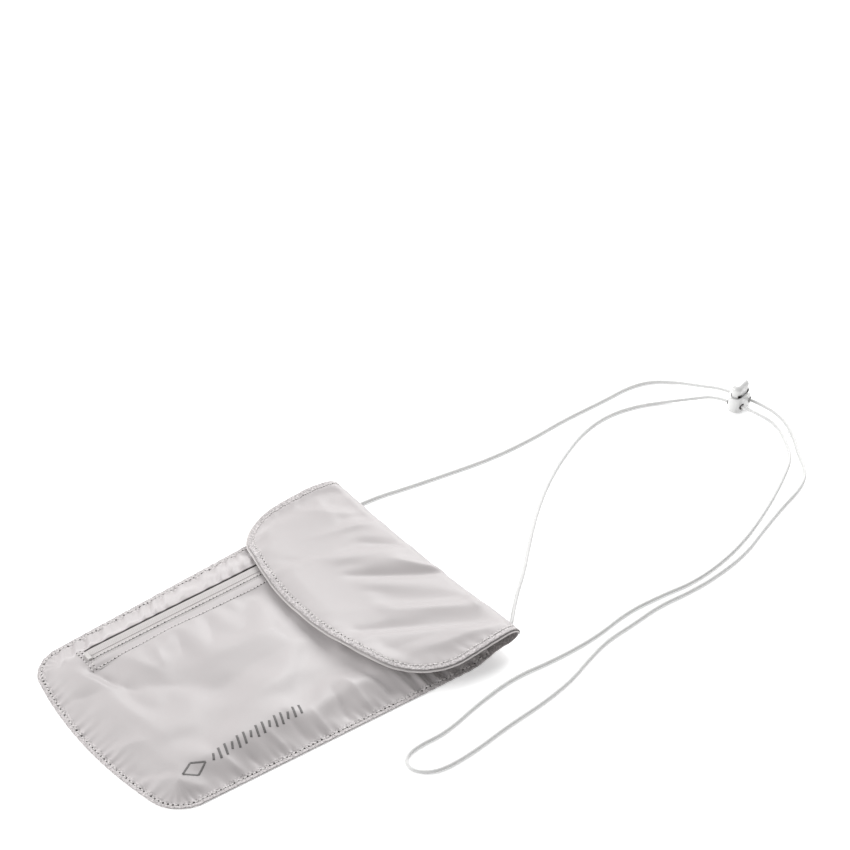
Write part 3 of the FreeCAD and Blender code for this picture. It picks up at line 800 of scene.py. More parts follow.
RIGHT_END = (0, 74)
LEFT_END = (40, 76)
RIGHT_END_UP = 3.6
LEFT_END_UP = 2.0
RIGHT_END_OUT = 2.0
RIGHT_END_THIN = 0.3
LEFT_END_THIN = 0.12
LEFT_GATHER = 0.05
GATHER_ACROSS = (30, 76)
GATHER_START = 186
HEAD_START = 176
HEAD_POWER = 1.3
HEAD_SUNK = 0.1
FLAP_HEAD_START = FLAP.start + 12
FLAP_HEAD_POWER = 1.4
FLAP_SHIFT_FADE = 60
RUFFLE_REACH = 6
RUFFLE_LEVEL = 0.15
RUFFLE_LEAST = -0.06
BACK_PUCKER_REACH = 1.4


def on_fold(across, turn, inset, side):
    """The reach and level of the fold's oval, at a share of its quarter turn.

    Side is -1 below its middle and 1 above. Both ends of the fold curl up off the table, the right one more
    and further out.
    """
    right = smooth(across, *RIGHT_END)
    left = smooth(-across, *LEFT_END)
    middle = FOLD_UP + RIGHT_END_UP * right + LEFT_END_UP * left
    rise = FOLD_RISE * (1 - RIGHT_END_THIN * right - LEFT_END_THIN * left)
    reach = FOLD_REACH + RIGHT_END_OUT * right
    angle = turn * math.pi / 2
    return FOLD_ALONG + (reach - inset) * np.sin(angle), middle + side * (rise - inset) * np.cos(angle)


def gather(across, along):
    """The cloth's width drawn in towards the fold's left end."""
    left = smooth(-across, *GATHER_ACROSS)
    return across * (1 - LEFT_GATHER * left * smooth(along, GATHER_START, FOLD_MIDDLE))


def head_share(along):
    """How far the cloth has risen from the pouch's flat back to the level of the fold."""
    return smooth(along, HEAD_START, FOLD_ALONG) ** HEAD_POWER


def head_lift(across, along):
    """How far the fold's ends lift the pouch's head."""
    _, level = on_fold(across, 0.0, 0.0, -1)
    return (level - HEAD_SUNK) * head_share(along)


def flap_point(across, along, drop=0.0):
    """A place on the flap, drop below its outer face. Along runs on round the fold, to its middle."""
    turn = np.clip((along - FOLD_ALONG) / FOLD_CLOTH, 0, 1)
    reach, level = on_fold(across, turn, drop, 1)
    lie = smooth(along, FLAP_HEAD_START, FOLD_ALONG) ** FLAP_HEAD_POWER
    level = level * lie + (FLAP_LEVEL - drop) * (1 - lie)
    swell = flap_swell(across, np.minimum(along, FOLD_MIDDLE)) + FLAP_SLACK(across, along)
    swell = swell * smooth(1 - turn, 0, 0.75)
    angle = turn * math.pi / 2
    shifted = gather(across, along) + FLAP_SHIFT * smooth(FOLD_ALONG - along, 0, FLAP_SHIFT_FADE)
    reach = reach + np.minimum(along - FOLD_ALONG, 0)
    return np.stack([shifted, reach + swell * np.sin(angle), level + swell * np.cos(angle)], -1)


def back_point(across, along, drop):
    """A place on the back cloth's inner face, drop below it, and on round the fold's lower half."""
    turn = np.clip((along - FOLD_ALONG) / FOLD_CLOTH, 0, 1)
    reach, level = on_fold(across, turn, SHEET - drop, -1)
    lie = head_share(along)
    level = level * lie + (BACK_LEVEL - drop) * (1 - lie)
    gathers = pucker(POUCH, across, along, reach=BACK_PUCKER_REACH, **POUCH_PUCKER)
    ruffle = np.maximum(gathers + RUFFLE_LEVEL, RUFFLE_LEAST)
    ruffle = ruffle * smooth(RUFFLE_REACH - POUCH.depth(across, along), 0, 4)
    ruffle = ruffle * smooth(FOLD_ALONG - along, 0, 8)
    return np.stack([gather(across, along), reach + np.minimum(along - FOLD_ALONG, 0), level + ruffle], -1)


NORMAL_STEP = 0.25


def places(point, across, along, drop=0.0):
    """Places and their normals on a surface given by a point function."""
    over = point(across + NORMAL_STEP, along, drop) - point(across - NORMAL_STEP, along, drop)
    up = point(across, along + NORMAL_STEP, drop) - point(across, along - NORMAL_STEP, drop)
    return point(across, along, drop), unit(np.cross(over, up))


# ---- slack in the cloth ----

SIM_STEP = 2.0
SIM_SCALE = 0.01
SIM_FRAMES = 26
SEWN_BY = 10
CLOTH_SETTINGS = {
    "quality": 6,
    "mass": 0.15,
    "tension_stiffness": 12,
    "compression_stiffness": 8,
    "shear_stiffness": 4,
    "air_damping": 2,
    "vertex_group_mass": "held",
}
HELD_FADE = 3
SEAM_HELD = 6.5
FLAP_EDGE_HELD = 5.0
ZIP_HELD = 10.5
PAD_HELD = 0.9
PULL_FADE = 5


def evened(grid):
    """A grid of values without its finest zigzag."""
    padded = np.pad(grid, 1, mode="edge")
    rows = (padded[:-2] + 2 * padded[1:-1] + padded[2:]) / 4
    return (rows[:, :-2] + 2 * rows[:, 1:-1] + rows[:, 2:]) / 4


def cut_larger(sewn, spare, direction):
    """The sewn places spread out by the shares in spare, along a direction and across it."""
    middle = sewn.mean(axis=0)
    ahead = np.array([*direction, 0.0])
    cut = sewn.copy()
    for way, share in zip((ahead, np.cross((0, 0, 1), ahead)), spare):
        cut += share * ((sewn - middle) @ way)[:, None] * way
    return cut


def drawn_sheet(cut, sewn, quads):
    """A sheet that is drawn in from its cut size to its sewn size over the first frames."""
    mesh = bpy.data.meshes.new("slack")
    mesh.from_pydata(cut.tolist(), [], quads.tolist())
    sheet = bpy.data.objects.new("slack", mesh)
    bpy.context.scene.collection.objects.link(sheet)
    sheet.shape_key_add(name="cut")
    drawn = sheet.shape_key_add(name="sewn")
    drawn.data.foreach_set("co", sewn.ravel())
    for frame_number, share in ((1, 0.0), (SEWN_BY, 1.0)):
        drawn.value = share
        drawn.keyframe_insert("value", frame=frame_number)
    return sheet


def make_supple(sheet, held, bend):
    """The sheet becomes cloth, pinned by the weights in held."""
    pin = sheet.vertex_groups.new(name="held")
    for vertex, weight in enumerate(held):
        pin.add([vertex], float(weight), "REPLACE")
    modifier = sheet.modifiers.new("cloth", "CLOTH")
    for setting, value in CLOTH_SETTINGS.items():
        setattr(modifier.settings, setting, value)
    modifier.settings.bending_stiffness = bend
    modifier.settings.effector_weights.gravity = 0
    modifier.collision_settings.use_collision = False
    modifier.collision_settings.use_self_collision = False


def settled_places(sheet):
    """Where the sheet's points are after the last frame."""
    for step in range(1, SIM_FRAMES + 1):
        bpy.context.scene.frame_set(step)
    settled = sheet.evaluated_get(bpy.context.evaluated_depsgraph_get()).to_mesh()
    moved = np.empty(3 * len(settled.vertices))
    settled.vertices.foreach_get("co", moved)
    bpy.context.scene.frame_set(1)
    return moved.reshape(-1, 3)


class Slack:
    """How far spare cloth stands off a surface, over a grid of places, from a cloth simulation."""

    def __init__(self, left, right, start, end):
        self.left = left
        self.start = start
        self.columns = int((right - left) / SIM_STEP) + 1
        self.rows = int((end - start) / SIM_STEP) + 1
        self.off = np.zeros((self.rows, self.columns))

    def __call__(self, across, along):
        """The distance at any place, by a cubic spline over the grid."""
        total = 0.0
        column, column_shares = self.nearest((across - self.left) / SIM_STEP, self.columns)
        row, row_shares = self.nearest((along - self.start) / SIM_STEP, self.rows)
        for down, row_share in enumerate(row_shares):
            for over, column_share in enumerate(column_shares):
                total = total + row_share * column_share * self.off[row + down, column + over]
        return total

    @staticmethod
    def nearest(steps, count):
        """The first of the four grid lines round a place, and the share of each."""
        first = np.clip(np.floor(steps).astype(int) - 1, 0, count - 4)
        t = np.clip(steps - first - 1, 0, 1)
        return first, ((1 - t) ** 3 / 6, (3 * t ** 3 - 6 * t ** 2 + 4) / 6,
                       (-3 * t ** 3 + 3 * t ** 2 + 3 * t + 1) / 6, t ** 3 / 6)

    def simulate(self, point, held, spare, direction, bend, limit):
        """Let the cloth buckle where it isn't held. Limit is the most that it may stand off its surface."""
        across, along = np.meshgrid(self.left + SIM_STEP * np.arange(self.columns),
                                    self.start + SIM_STEP * np.arange(self.rows))
        lying, normals = places(point, across, along)
        sewn = lying.reshape(-1, 3) * SIM_SCALE
        quads = grid_quads(self.rows, self.columns).reshape(-1, 4)
        sheet = drawn_sheet(cut_larger(sewn, spare, direction), sewn, quads)
        make_supple(sheet, held(across, along).ravel(), bend)
        shift = (settled_places(sheet) - sewn) / SIM_SCALE
        off = np.sum(shift.reshape(lying.shape) * normals, -1)
        self.off = evened(limit * np.tanh(off / limit))
        mesh = sheet.data
        bpy.data.objects.remove(sheet)
        bpy.data.meshes.remove(mesh)


FRONT_SLACK = Slack(-80, 80, -6, 196)
FLAP_SLACK = Slack(-84, 84, 127.6, 209.6)


def front_held(across, along):
    """Where the front cloth is held, from 0 to 1: by its seams, the zip, the mouth and the touch fastener."""
    seam = smooth(SEAM_HELD - POUCH.depth(across, along), 0, HELD_FADE)
    zip_band = smooth(ZIP_HELD - np.abs(across - COIL_ACROSS), 0, HELD_FADE) * smooth(along, 24, 30)
    mouth = smooth(along, MOUTH - 8, MOUTH - 2)
    return np.maximum.reduce([seam, zip_band, mouth, 1 - away_from_pads(across, along)])


def flap_held(across, along):
    """Where the flap keeps its shape: its sewn edge, the pull, the touch fastener and the fold's middle."""
    edge = smooth(FLAP_EDGE_HELD - FLAP.depth(across, along), 0, HELD_FADE)
    fold_line = smooth(along, FOLD_MIDDLE - 4, FOLD_MIDDLE)
    off_pull = np.hypot(across - COIL_ACROSS, along - PULL_ALONG)
    on_pull = smooth(PULL_REACH - off_pull, 0, PULL_FADE)
    return np.maximum.reduce([edge, fold_line, PAD_HELD * (1 - away_from_pads(across, along)), on_pull])


def make_slack():
    """Wrinkles from the spare cloth of the front and the flap."""
    FRONT_SLACK.simulate(front_point, front_held, spare=(0.018, 0.009), direction=(0.3, 0.954), bend=2.0,
                         limit=0.9)
    FLAP_SLACK.simulate(flap_point, flap_held, spare=(0.045, 0.004), direction=(0.84, -0.543), bend=0.05,
                        limit=1.7)


# ---- building cloth ----

THREAD_RADIUS = 0.33
THREAD_SIDES = 6
THREAD_FLAT = 0.8
STITCH_GAP = 0.8
STITCH_SAG = 0.16
STITCH_LIFT = 0.14
# A stitch from end to end: the place as a share of half its length, and the share of the thread's radius.
STITCH_SHAPE = ((-1, 0.25), (-0.93, 0.7), (-0.6, 1), (0, 1), (0.6, 1), (0.93, 0.7), (1, 0.25))
# The discs of painted shade at the needle holes: their radius, their lift off the cloth and the range of
# their sizes.
SHADE_DOT_RADIUS = 0.55
SHADE_DOT_LIFT = 0.02
SHADE_DOT_SIZES = (0.5, 1.15)


def attach(piece, body, *nodes):
    """Put a piece on its body, or on the flap and the back only bake its place into its mesh, and hide any
    CAD nodes named, whose place it takes.
    """
    if body == "flap":
        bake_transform(piece)
    elif body == "back":
        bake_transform(piece)
    else:
        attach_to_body(piece, body)
    if nodes:
        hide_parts(*nodes)


def border_of(quads, total):
    """The sides that only one face has, of faces on that many points."""
    sides = quads[:, [0, 1, 1, 2, 2, 3, 3, 0]].reshape(-1, 2)
    key = np.sort(sides, 1) @ (total, 1)
    _, first, count = np.unique(key, return_index=True, return_counts=True)
    return sides[first[count == 1]]


def cloth(name, top, normal, thickness, finish, kept=None, seam=None):
    """A sheet with two faces and a round edge, from a grid of places on its upper face.

    Kept marks the faces of the grid that aren't cut out. Seam says how near each place is to a seam, from 0
    to 1, for the cloth's material.
    """
    quads = grid_quads(*top.shape[:2])
    quads = quads[kept] if kept is not None else quads.reshape(-1, 4)
    points = top.reshape(-1, 3)
    normals = normal.reshape(-1, 3)
    under = points - normals * thickness
    total = len(points)
    border = border_of(quads, total)
    a, b = border.T
    outward = np.zeros_like(points)
    pushes = np.cross(points[b] - points[a], normals[a])
    np.add.at(outward, a, pushes)
    np.add.at(outward, b, pushes)
    edge = np.unique(border)
    middle = (points[edge] + under[edge]) / 2 + unit(outward[edge]) * thickness / 2
    ring = np.zeros(total, int)
    ring[edge] = 2 * total + np.arange(len(edge))
    upper_wall = np.stack([b, a, ring[a], ring[b]], 1)
    lower_wall = np.stack([ring[b], ring[a], a + total, b + total], 1)
    faces = np.concatenate([quads, quads[:, ::-1] + total, upper_wall, lower_wall])
    used, packed = np.unique(faces, return_inverse=True)
    every_point = np.concatenate([points, under, middle])
    piece = new_piece(name, every_point[used], packed.reshape(-1, 4), finish)
    if seam is not None:
        near = seam.ravel()
        shares = np.concatenate([near, near, near[edge]])[used]
        piece.data.attributes.new("seam", "FLOAT", "POINT").data.foreach_set("value", shares)
    return piece


def panel(name, outline, point, wide, long, thickness, finish, drop=0.0, kept=None):
    """A sheet of cloth cut to an outline."""
    across, along = outline.place(*np.meshgrid(wide / outline.end_half, long))
    top, normal = places(point, across, along, drop)
    seam = smooth(SEAM_REACH - outline.depth(across, along), 0, SEAM_FADE)
    return cloth(name, top, normal, thickness, finish, kept, seam)


def stitch(pitch):
    """One stitch's shape, sagging into its needle holes."""
    places_along, shares = np.array(STITCH_SHAPE).T
    lengths = places_along * (pitch - STITCH_GAP) / 2
    shape, faces = lathe(lengths, shares * THREAD_RADIUS, THREAD_SIDES, THREAD_FLAT)
    shape[:, 2] -= STITCH_SAG * (np.abs(shape[:, 0]) / lengths[-1]) ** 2
    return shape, faces


def sew(name, line, point, body, pitch=STITCH_PITCH, shade_dot=SHADE_DOT_RADIUS):
    """A row of stitches along a line on a surface, and discs of painted shade at the needle holes between
    them.
    """
    stops = evenly(line, pitch)
    middles = (stops[1:] + stops[:-1]) / 2
    centres, normals = places(point, middles[:, 0], middles[:, 1])
    ends, end_normals = places(point, stops[:, 0], stops[:, 1])
    stitches = stamp(name + "_stitches", centres + normals * STITCH_LIFT, np.diff(ends, axis=0), normals,
                     *stitch(pitch), THREAD)
    # Dark discs of painted shade, one at each needle hole, standing in for the shadow there.
    disc, disc_faces = lathe([0, 0.05], [1, 0.75], 8)
    disc = disc[:, [1, 2, 0]] * (shade_dot, shade_dot, 1)
    sizes = np.random.RandomState(len(ends)).uniform(*SHADE_DOT_SIZES, len(ends))
    shade_dots = stamp(name + "_shade_dots", ends + end_normals * SHADE_DOT_LIFT, np.gradient(ends, axis=0), end_normals,
                  disc, disc_faces, HOLE_SHADE_PAINT, sizes)
    for piece in (stitches, shade_dots):
        attach(piece, body)


# ---- the neck cord ----

# In metres: places on the table, and with a height of their own the ones by the lock.
CORD_LIE = 0.0011
CORD_PLACES = (
    (-0.062, 0.103), (-0.062, 0.116), (-0.0575, 0.137), (-0.053, 0.163), (-0.049, 0.189),
    (-0.0485, 0.216), (-0.0505, 0.243), (-0.05, 0.271), (-0.0508, 0.291), (-0.047, 0.305),
    (-0.0375, 0.3155), (-0.026, 0.3225, 0.0022), (-0.0127, 0.33, 0.0044), (0.0124, 0.3367, 0.0044),
    (0.0255, 0.3384, 0.0022), (0.039, 0.3335), (0.053, 0.3235), (0.0665, 0.316), (0.074, 0.304),
    (0.079, 0.286), (0.0865, 0.264), (0.0945, 0.243), (0.098, 0.22), (0.0985, 0.199), (0.0965, 0.18),
    (0.0985, 0.161), (0.0995, 0.142), (0.104, 0.126), (0.11, 0.109), (0.1135, 0.088), (0.115, 0.064),
    (0.118, 0.042), (0.1185, 0.024), (0.1155, 0.0145), (0.1085, 0.009), (0.101, 0.0125), (0.0988, 0.022),
    (0.1, 0.038), (0.0945, 0.062), (0.091, 0.088), (0.094, 0.112), (0.0942, 0.139), (0.09, 0.164),
    (0.0915, 0.186), (0.0942, 0.206), (0.092, 0.228), (0.0865, 0.25), (0.078, 0.271), (0.069, 0.29),
    (0.061, 0.3045), (0.053, 0.3175), (0.041, 0.326), (0.028, 0.3315, 0.0022), (0.0146, 0.3286, 0.0044),
    (-0.0105, 0.3218, 0.0044), (-0.0195, 0.311, 0.0022), (-0.028, 0.2975), (-0.035, 0.2825),
    (-0.0385, 0.264), (-0.0355, 0.244), (-0.0265, 0.2225), (-0.014, 0.2), (0.002, 0.178), (0.0195, 0.158),
    (0.0335, 0.143), (0.0445, 0.129), (0.0545, 0.118), (0.062, 0.1105), (0.062, 0.103),
)
CORD_ROUTE = tuple(place if len(place) == 3 else (*place, CORD_LIE) for place in CORD_PLACES)
CORD_DIAMETER = 0.002
CORD_STEPS = 56
CORD_SIDES = 16
BRAID_TURN = 4 * CORD_DIAMETER
BRAID_DEPTH = 0.07


def cord_path():
    """Close places along a smooth line through the route's control points."""
    curve = bpy.data.curves.new("cord_line", "CURVE")
    curve.dimensions = "3D"
    spline = curve.splines.new("NURBS")
    spline.points.add(len(CORD_ROUTE) - 1)
    for point, place in zip(spline.points, CORD_ROUTE):
        point.co = (*place, 1)
    spline.order_u = 3
    spline.use_endpoint_u = True
    curve.resolution_u = CORD_STEPS
    line = bpy.data.objects.new("cord_line", curve)
    bpy.context.scene.collection.objects.link(line)
    sampled = bpy.data.meshes.new_from_object(line)
    path = np.array([vertex.co for vertex in sampled.vertices])
    bpy.data.objects.remove(line)
    bpy.data.meshes.remove(sampled)
    return path


def make_cord():
    """The round braid, its strands crossing as they turn round it."""
    path = cord_path()
    gone = np.concatenate([[0], np.cumsum(np.linalg.norm(np.diff(path, axis=0), axis=1))])
    angle = np.arange(CORD_SIDES) * 2 * math.pi / CORD_SIDES
    turn = gone[:, None] * 2 * math.pi / BRAID_TURN
    strands = np.maximum(np.abs(np.sin(4 * angle + turn * 2)), np.abs(np.sin(4 * angle - turn * 2)))
    radius = CORD_DIAMETER / 2 * (1 - BRAID_DEPTH + BRAID_DEPTH * strands)
    points, faces = tube(path, (0, 0, 1), radius, CORD_SIDES)
    cord = new_piece("neck_braid", points / MM - (0, FOOT, 0), faces, CORD)
    attach(cord, "pouch", "neck_cord")


# ---- the pouch ----

LINER = Outline(start=4.4, end=183, start_half=60, end_half=69.6, bow=9, corners=(12, 12))
LINER_SHARE = 0.62
MOUTH_SEAM = MOUTH - 4.5
HEM_GAP = 0.1


def make_back():
    """The back cloth, with the lower half of the fold."""
    wide = spread(-75, 150, 75)
    long = spread(0, 90, 60, 100, MOUTH, 50, FOLD_MIDDLE)
    back = panel("back_cloth", POUCH, back_point, wide, long, SHEET, SHELL)
    attach(back, "back", "back_panel", "fold_strip")


def make_front():
    """The front cloth, with its zip window and its edge stitching."""
    wide = spread(-75, 44, ZIP_LEFT, 12, ZIP_RIGHT, 170, 75)
    long = spread(0, 50, ZIP_FOOT, 250, ZIP_TOP, 10, MOUTH)
    between_tapes = (wide[:-1] >= ZIP_LEFT - 0.01) & (wide[1:] <= ZIP_RIGHT + 0.01)
    along_zip = (long[:-1] >= ZIP_FOOT - 0.01) & (long[1:] <= ZIP_TOP + 0.01)
    kept = ~(between_tapes[None, :] & along_zip[:, None])
    front = panel("front_cloth", POUCH, front_point, wide, long, SHEET, SHELL, kept=kept)
    attach(front, "pouch", "front_panel")
    sew("seam", POUCH.rim(SEAM_INSET, MOUTH - 12), front_point, "pouch")
    mouth_half = POUCH.half(MOUTH) - 3
    mouth_line = np.array([(-mouth_half, MOUTH_SEAM), (mouth_half, MOUTH_SEAM)])
    sew("mouth", mouth_line, front_point, "pouch")


def liner_point(across, along, drop):
    """A place on the zip pocket's lining, between the front cloth and the back."""
    gap = front_up(across, along) - BACK_LEVEL
    return np.stack([across, along, BACK_LEVEL + LINER_SHARE * gap - drop], -1)


def make_inside():
    """The zip pocket's lining and the hem under the mouth's edge."""
    wide = spread(-LINER.end_half, 90, LINER.end_half)
    liner = panel("pocket_lining", LINER, liner_point, wide, spread(0, 110, 178.6), LINING_SHEET, LINING)
    attach(liner, "pouch", "pocket_liner")

    across, along = np.meshgrid(spread(-69, 140, 69), spread(MOUTH - 6, 8, MOUTH - 0.2))
    top, normal = places(front_point, across, along, SHEET + HEM_GAP)
    hem = cloth("hem_cloth", top, normal, LINING_SHEET, SHELL)
    attach(hem, "pouch", "mouth_hem")


# ---- the zip ----

TAPE_SHEET = 0.35
TAPE_STEP = 0.35
# Each tape from side to side: (across, drop below the front cloth).
LEFT_TAPE = ((-53.6, 2.4), (-50.4, 2.5), (-49.6, 2.3), (-49.3, 0.4), (-47.6, 0.15), (-44.72, 0.12))
RIGHT_TAPE = ((-44.34, 0.12), (-41.6, 0.1), (-40.6, 0.3), (-39.6, 1.0), (-35.0, 1.1))
COIL_START = ZIP_FOOT + 1.5
COIL_END = ZIP_TOP - 2
COIL_PITCH = 1.3
COIL_DROP = 1.0
COIL_OUT = 0.45
COIL_HALF_WIDTH = 0.58
COIL_HALF_HEIGHT = 0.32
COIL_WIRE = 0.3
COIL_STEPS = 10
ZIP_STITCHES = {
    "zip_tape": ((-42.2, ZIP_FOOT + 1), (-42.2, ZIP_TOP)),
    "zip_side": ((-36.0, ZIP_FOOT - 1), (-36.0, ZIP_TOP)),
    "zip_foot": ((-51.0, ZIP_FOOT - 1.3), (-36.0, ZIP_FOOT - 1.3)),
    "zip_foot_again": ((-51.0, ZIP_FOOT - 3.2), (-36.0, ZIP_FOOT - 3.2)),
}


def make_tape(name, profile, node):
    """One of the zip's tapes, through its profile."""
    across, drop = evenly(np.array(profile, float), TAPE_STEP).T
    wide, long = np.meshgrid(across, spread(ZIP_FOOT, int(ZIP_TOP - ZIP_FOOT), ZIP_TOP))
    level = front_up(np.full_like(wide, COIL_ACROSS), long) - np.broadcast_to(drop, wide.shape)
    top = np.stack([wide, long, level], -1)
    normal = unit(np.cross(np.gradient(top, axis=1), np.gradient(top, axis=0)))
    tape = cloth(name, top, normal, TAPE_SHEET, TAPE)
    attach(tape, "pouch", node)


def make_coil(name, side, start_angle, node):
    """One half of the zip: a flattened spiral of monofilament, on the left (-1) or right (1)."""
    turns = (COIL_END - COIL_START) / COIL_PITCH
    steps = int(turns * COIL_STEPS)
    angle = np.linspace(0, 2 * math.pi * turns, steps) + start_angle
    along = np.linspace(COIL_START, COIL_END, steps)
    across = COIL_ACROSS + side * (COIL_OUT + COIL_HALF_WIDTH * np.cos(angle))
    up = front_up(np.full(steps, COIL_ACROSS), along) - COIL_DROP + COIL_HALF_HEIGHT * np.sin(angle)
    points, faces = tube(np.stack([across, along, up], -1), (0, 1, 0), COIL_WIRE, 6)
    coil = new_piece(name, points, faces, COIL)
    attach(coil, "pouch", node)


def make_zip():
    """Tapes, coils and the stitching round the window."""
    make_tape("tape_left", LEFT_TAPE, "zip_tape_left")
    make_tape("tape_right", RIGHT_TAPE, "zip_tape_right")
    make_coil("coil_left", -1, 0, "zip_coil_left")
    make_coil("coil_right", 1, math.pi, "zip_coil_right")
    for name, line in ZIP_STITCHES.items():
        sew(name, np.array(line, float), front_point, "pouch", pitch=2.1, shade_dot=0.4)


# ---- the touch fastener and the cord's anchors ----

PAD_SHEET = 0.6
PAD_MARGINS = (1.6, 1.2)
PAD_JITTER = 0.12
PAD_TWIST = 0.5
ARCH_SIDES = 4
# Rings along an anchor's cuff: (along, half width, half height).
ANCHOR_RINGS = (
    (202.0, 4.0, 0.6),
    (203.2, 4.0, 0.85),
    (204.4, 3.7, 1.1),
    (205.4, 3.1, 1.22),
    (206.0, 2.7, 1.2),
)
ANCHOR_LEVEL = 1.22
ANCHOR_SIDES = 28
ANCHOR_SQUARENESS = 0.55


def arch(radius, wire, sweep, leg=0.0):
    """A bent thread standing in the plane of its first and third axes: a leg and an arch over sweep."""
    turns = np.linspace(0, sweep, 6)
    line = [(-radius * math.cos(turn), leg + radius * math.sin(turn)) for turn in turns]
    line = np.array([(-radius, 0.0), *line] if leg else line)
    quarters = [k * math.pi / 2 for k in range(ARCH_SIDES)]
    shape = [(x - wire * dy * math.cos(quarter), wire * math.sin(quarter), z + wire * dx * math.cos(quarter))
             for (x, z), (dx, dy) in zip(line, unit(np.gradient(line, axis=0))) for quarter in quarters]
    return np.array(shape), [face[::-1] for face in ring_faces(len(line), ARCH_SIDES)]


def make_pad(name, node, body, point, drop, side, thread, pitch, seed):
    """Half of the touch fastener: a woven base, and threads that stand up (side 1) or hang down (-1)."""
    wide, long = spread(-PAD_HALF, 44, PAD_HALF), spread(PAD_START, 16, PAD_END)
    top, normal = places(point, *np.meshgrid(wide, long), drop)
    base = cloth(name + "_base", top, normal, PAD_SHEET, TOUCH)
    attach(base, body, node)
    rng = np.random.RandomState(seed)
    near, far = PAD_MARGINS
    rows = np.meshgrid(np.arange(-PAD_HALF + near, PAD_HALF - far, pitch),
                       np.arange(PAD_START + near, PAD_END - far, pitch))
    across, along = (row.ravel() + rng.uniform(-PAD_JITTER, PAD_JITTER, row.size) for row in rows)
    stand, stand_normal = places(point, across, along, drop + (PAD_SHEET if side < 0 else 0))
    twist = rng.uniform(-PAD_TWIST, PAD_TWIST, len(across))
    tangents = np.stack([np.sin(twist), np.cos(twist), np.zeros(len(twist))], -1)
    threads = stamp(name + "_threads", stand, tangents, stand_normal * side, *thread, TOUCH)
    attach(threads, body)


def make_touch_fastener():
    """Loops on the pouch's front and hooks inside the flap."""
    loop = arch(0.34, 0.07, math.pi)
    hook = arch(0.2, 0.08, math.radians(215), leg=0.22)
    make_pad("loop_pad", "loop_patch", "pouch", front_point, -0.75, 1, loop, pitch=1.0, seed=41)
    make_pad("hook_pad", "hook_patch", "flap", flap_point, SHEET + 0.9, -1, hook, pitch=1.25, seed=42)


def squared(value):
    """A sine or cosine, pushed out so that a round cross-section turns squarish."""
    return math.copysign(abs(value) ** ANCHOR_SQUARENESS, value)


def make_anchor(name, across, node):
    """A cuff of webbing that holds an end of the cord in the head seam."""
    angles = np.arange(ANCHOR_SIDES) * 2 * math.pi / ANCHOR_SIDES
    points = [
        (across + half * squared(math.cos(angle)), along, ANCHOR_LEVEL + rise * squared(math.sin(angle)))
        for along, half, rise in ANCHOR_RINGS
        for angle in angles
    ]
    cuff = new_piece(name, points, ring_faces(len(ANCHOR_RINGS), ANCHOR_SIDES), CUFF)
    attach(cuff, "pouch", node)


# ---- the CAD nodes that stay ----

WELD_REACH = 0.005
BEVEL_STEPS = 3
EDGE_ANGLE = math.radians(35)
# Each node's material, and the width of its softened edges.
FINISHES = {
    "zip_slider": (ENAMEL, 0.22),
    "pull_tab": (ENAMEL, 0.15),
    "zip_bottom_stop": (ENAMEL, 0.2),
    "zip_top_stop": (ENAMEL, 0.2),
    "lock_barrel": (PLASTIC, 0.3),
    "lock_button": (PLASTIC, 0.3),
    "lock_spring": (STEEL, 0.04),
}

# Where the discs of painted shade sit: in the lock's cord holes, and in the button's slots.
LOCK_MIDDLE = (0.0, 329.0)
LOCK_TURN = math.radians(15)
LOCK_HOLE_SIDE = 4.2
LOCK_HOLE_LEVEL = 4.4
LOCK_HOLE_SHADE = (4.1, 4.2)
LOCK_HOLE_RADIUS = 1.88
SLOT_LEVEL = 10.2
SLOT_SHADE = (-2.35, 2.35)
SLOT_RADIUS = 1.46


def finish_node(node, material, bevel):
    """A node keeps its CAD shape, and gets its finish and softened edges."""
    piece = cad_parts[node]
    for material_slot in piece.material_slots:
        material_slot.material = material
    weld = piece.modifiers.new("weld", "WELD")
    weld.merge_threshold = WELD_REACH * MM
    edges = piece.modifiers.new("edges", "BEVEL")
    edges.width = bevel * MM
    edges.segments = BEVEL_STEPS
    edges.limit_method = "ANGLE"
    edges.angle_limit = EDGE_ANGLE
    edges.harden_normals = True


def shade_disc(name, side, level, reach, radius, body):
    """A disc of painted shade across one of the lock's cord holes or a slot of its button, on its left (-1)
    or right (1), standing in for the shadow inside.
    """
    ahead = np.array([math.cos(LOCK_TURN), math.sin(LOCK_TURN), 0.0])
    beside = np.array([-math.sin(LOCK_TURN), math.cos(LOCK_TURN), 0.0])
    centre = np.array([LOCK_MIDDLE[0], LOCK_MIDDLE[1] - FOOT, level]) + beside * side * LOCK_HOLE_SIDE
    shape, faces = lathe(sorted(reach), (radius, radius), 20)
    piece = stamp(name, centre[None], ahead[None], np.array([[0.0, 0.0, 1.0]]), shape, faces, LOCK_SHADE_PAINT)
    attach(piece, body)


def make_lock_shade():
    """Discs of painted shade in the lock's cord holes, and in the button's slots above the barrel's rim,
    where their insides lie in shadow.
    """
    for side_name, side in (("left", -1), ("right", 1)):
        for end_name, out in (("near", -1), ("far", 1)):
            reach = [out * depth for depth in LOCK_HOLE_SHADE]
            shade_disc(f"lock_hole_shadow_{side_name}_{end_name}", side, LOCK_HOLE_LEVEL, reach, LOCK_HOLE_RADIUS,
                       "lock")
        shade_disc(f"button_slot_shadow_{side_name}", side, SLOT_LEVEL, SLOT_SHADE, SLOT_RADIUS, "button")


# ---- the printed mark ----

INK_LIFT = 0.07
INK_SHEET = 0.05
MARK_ACROSS = 49.6
LOZENGE_ALONG = (23.5, 36.5)
LOZENGE_HALF = 3.4
LOZENGE_LINE = 0.9
STROKES = 15
STROKE_START = 41.0
STROKE_STEP = 3.6
STROKE_SLANT = 0.9
STROKE_LINE = 1.15
LONG_STROKE = 2.9
SHORT_STROKE = 1.6


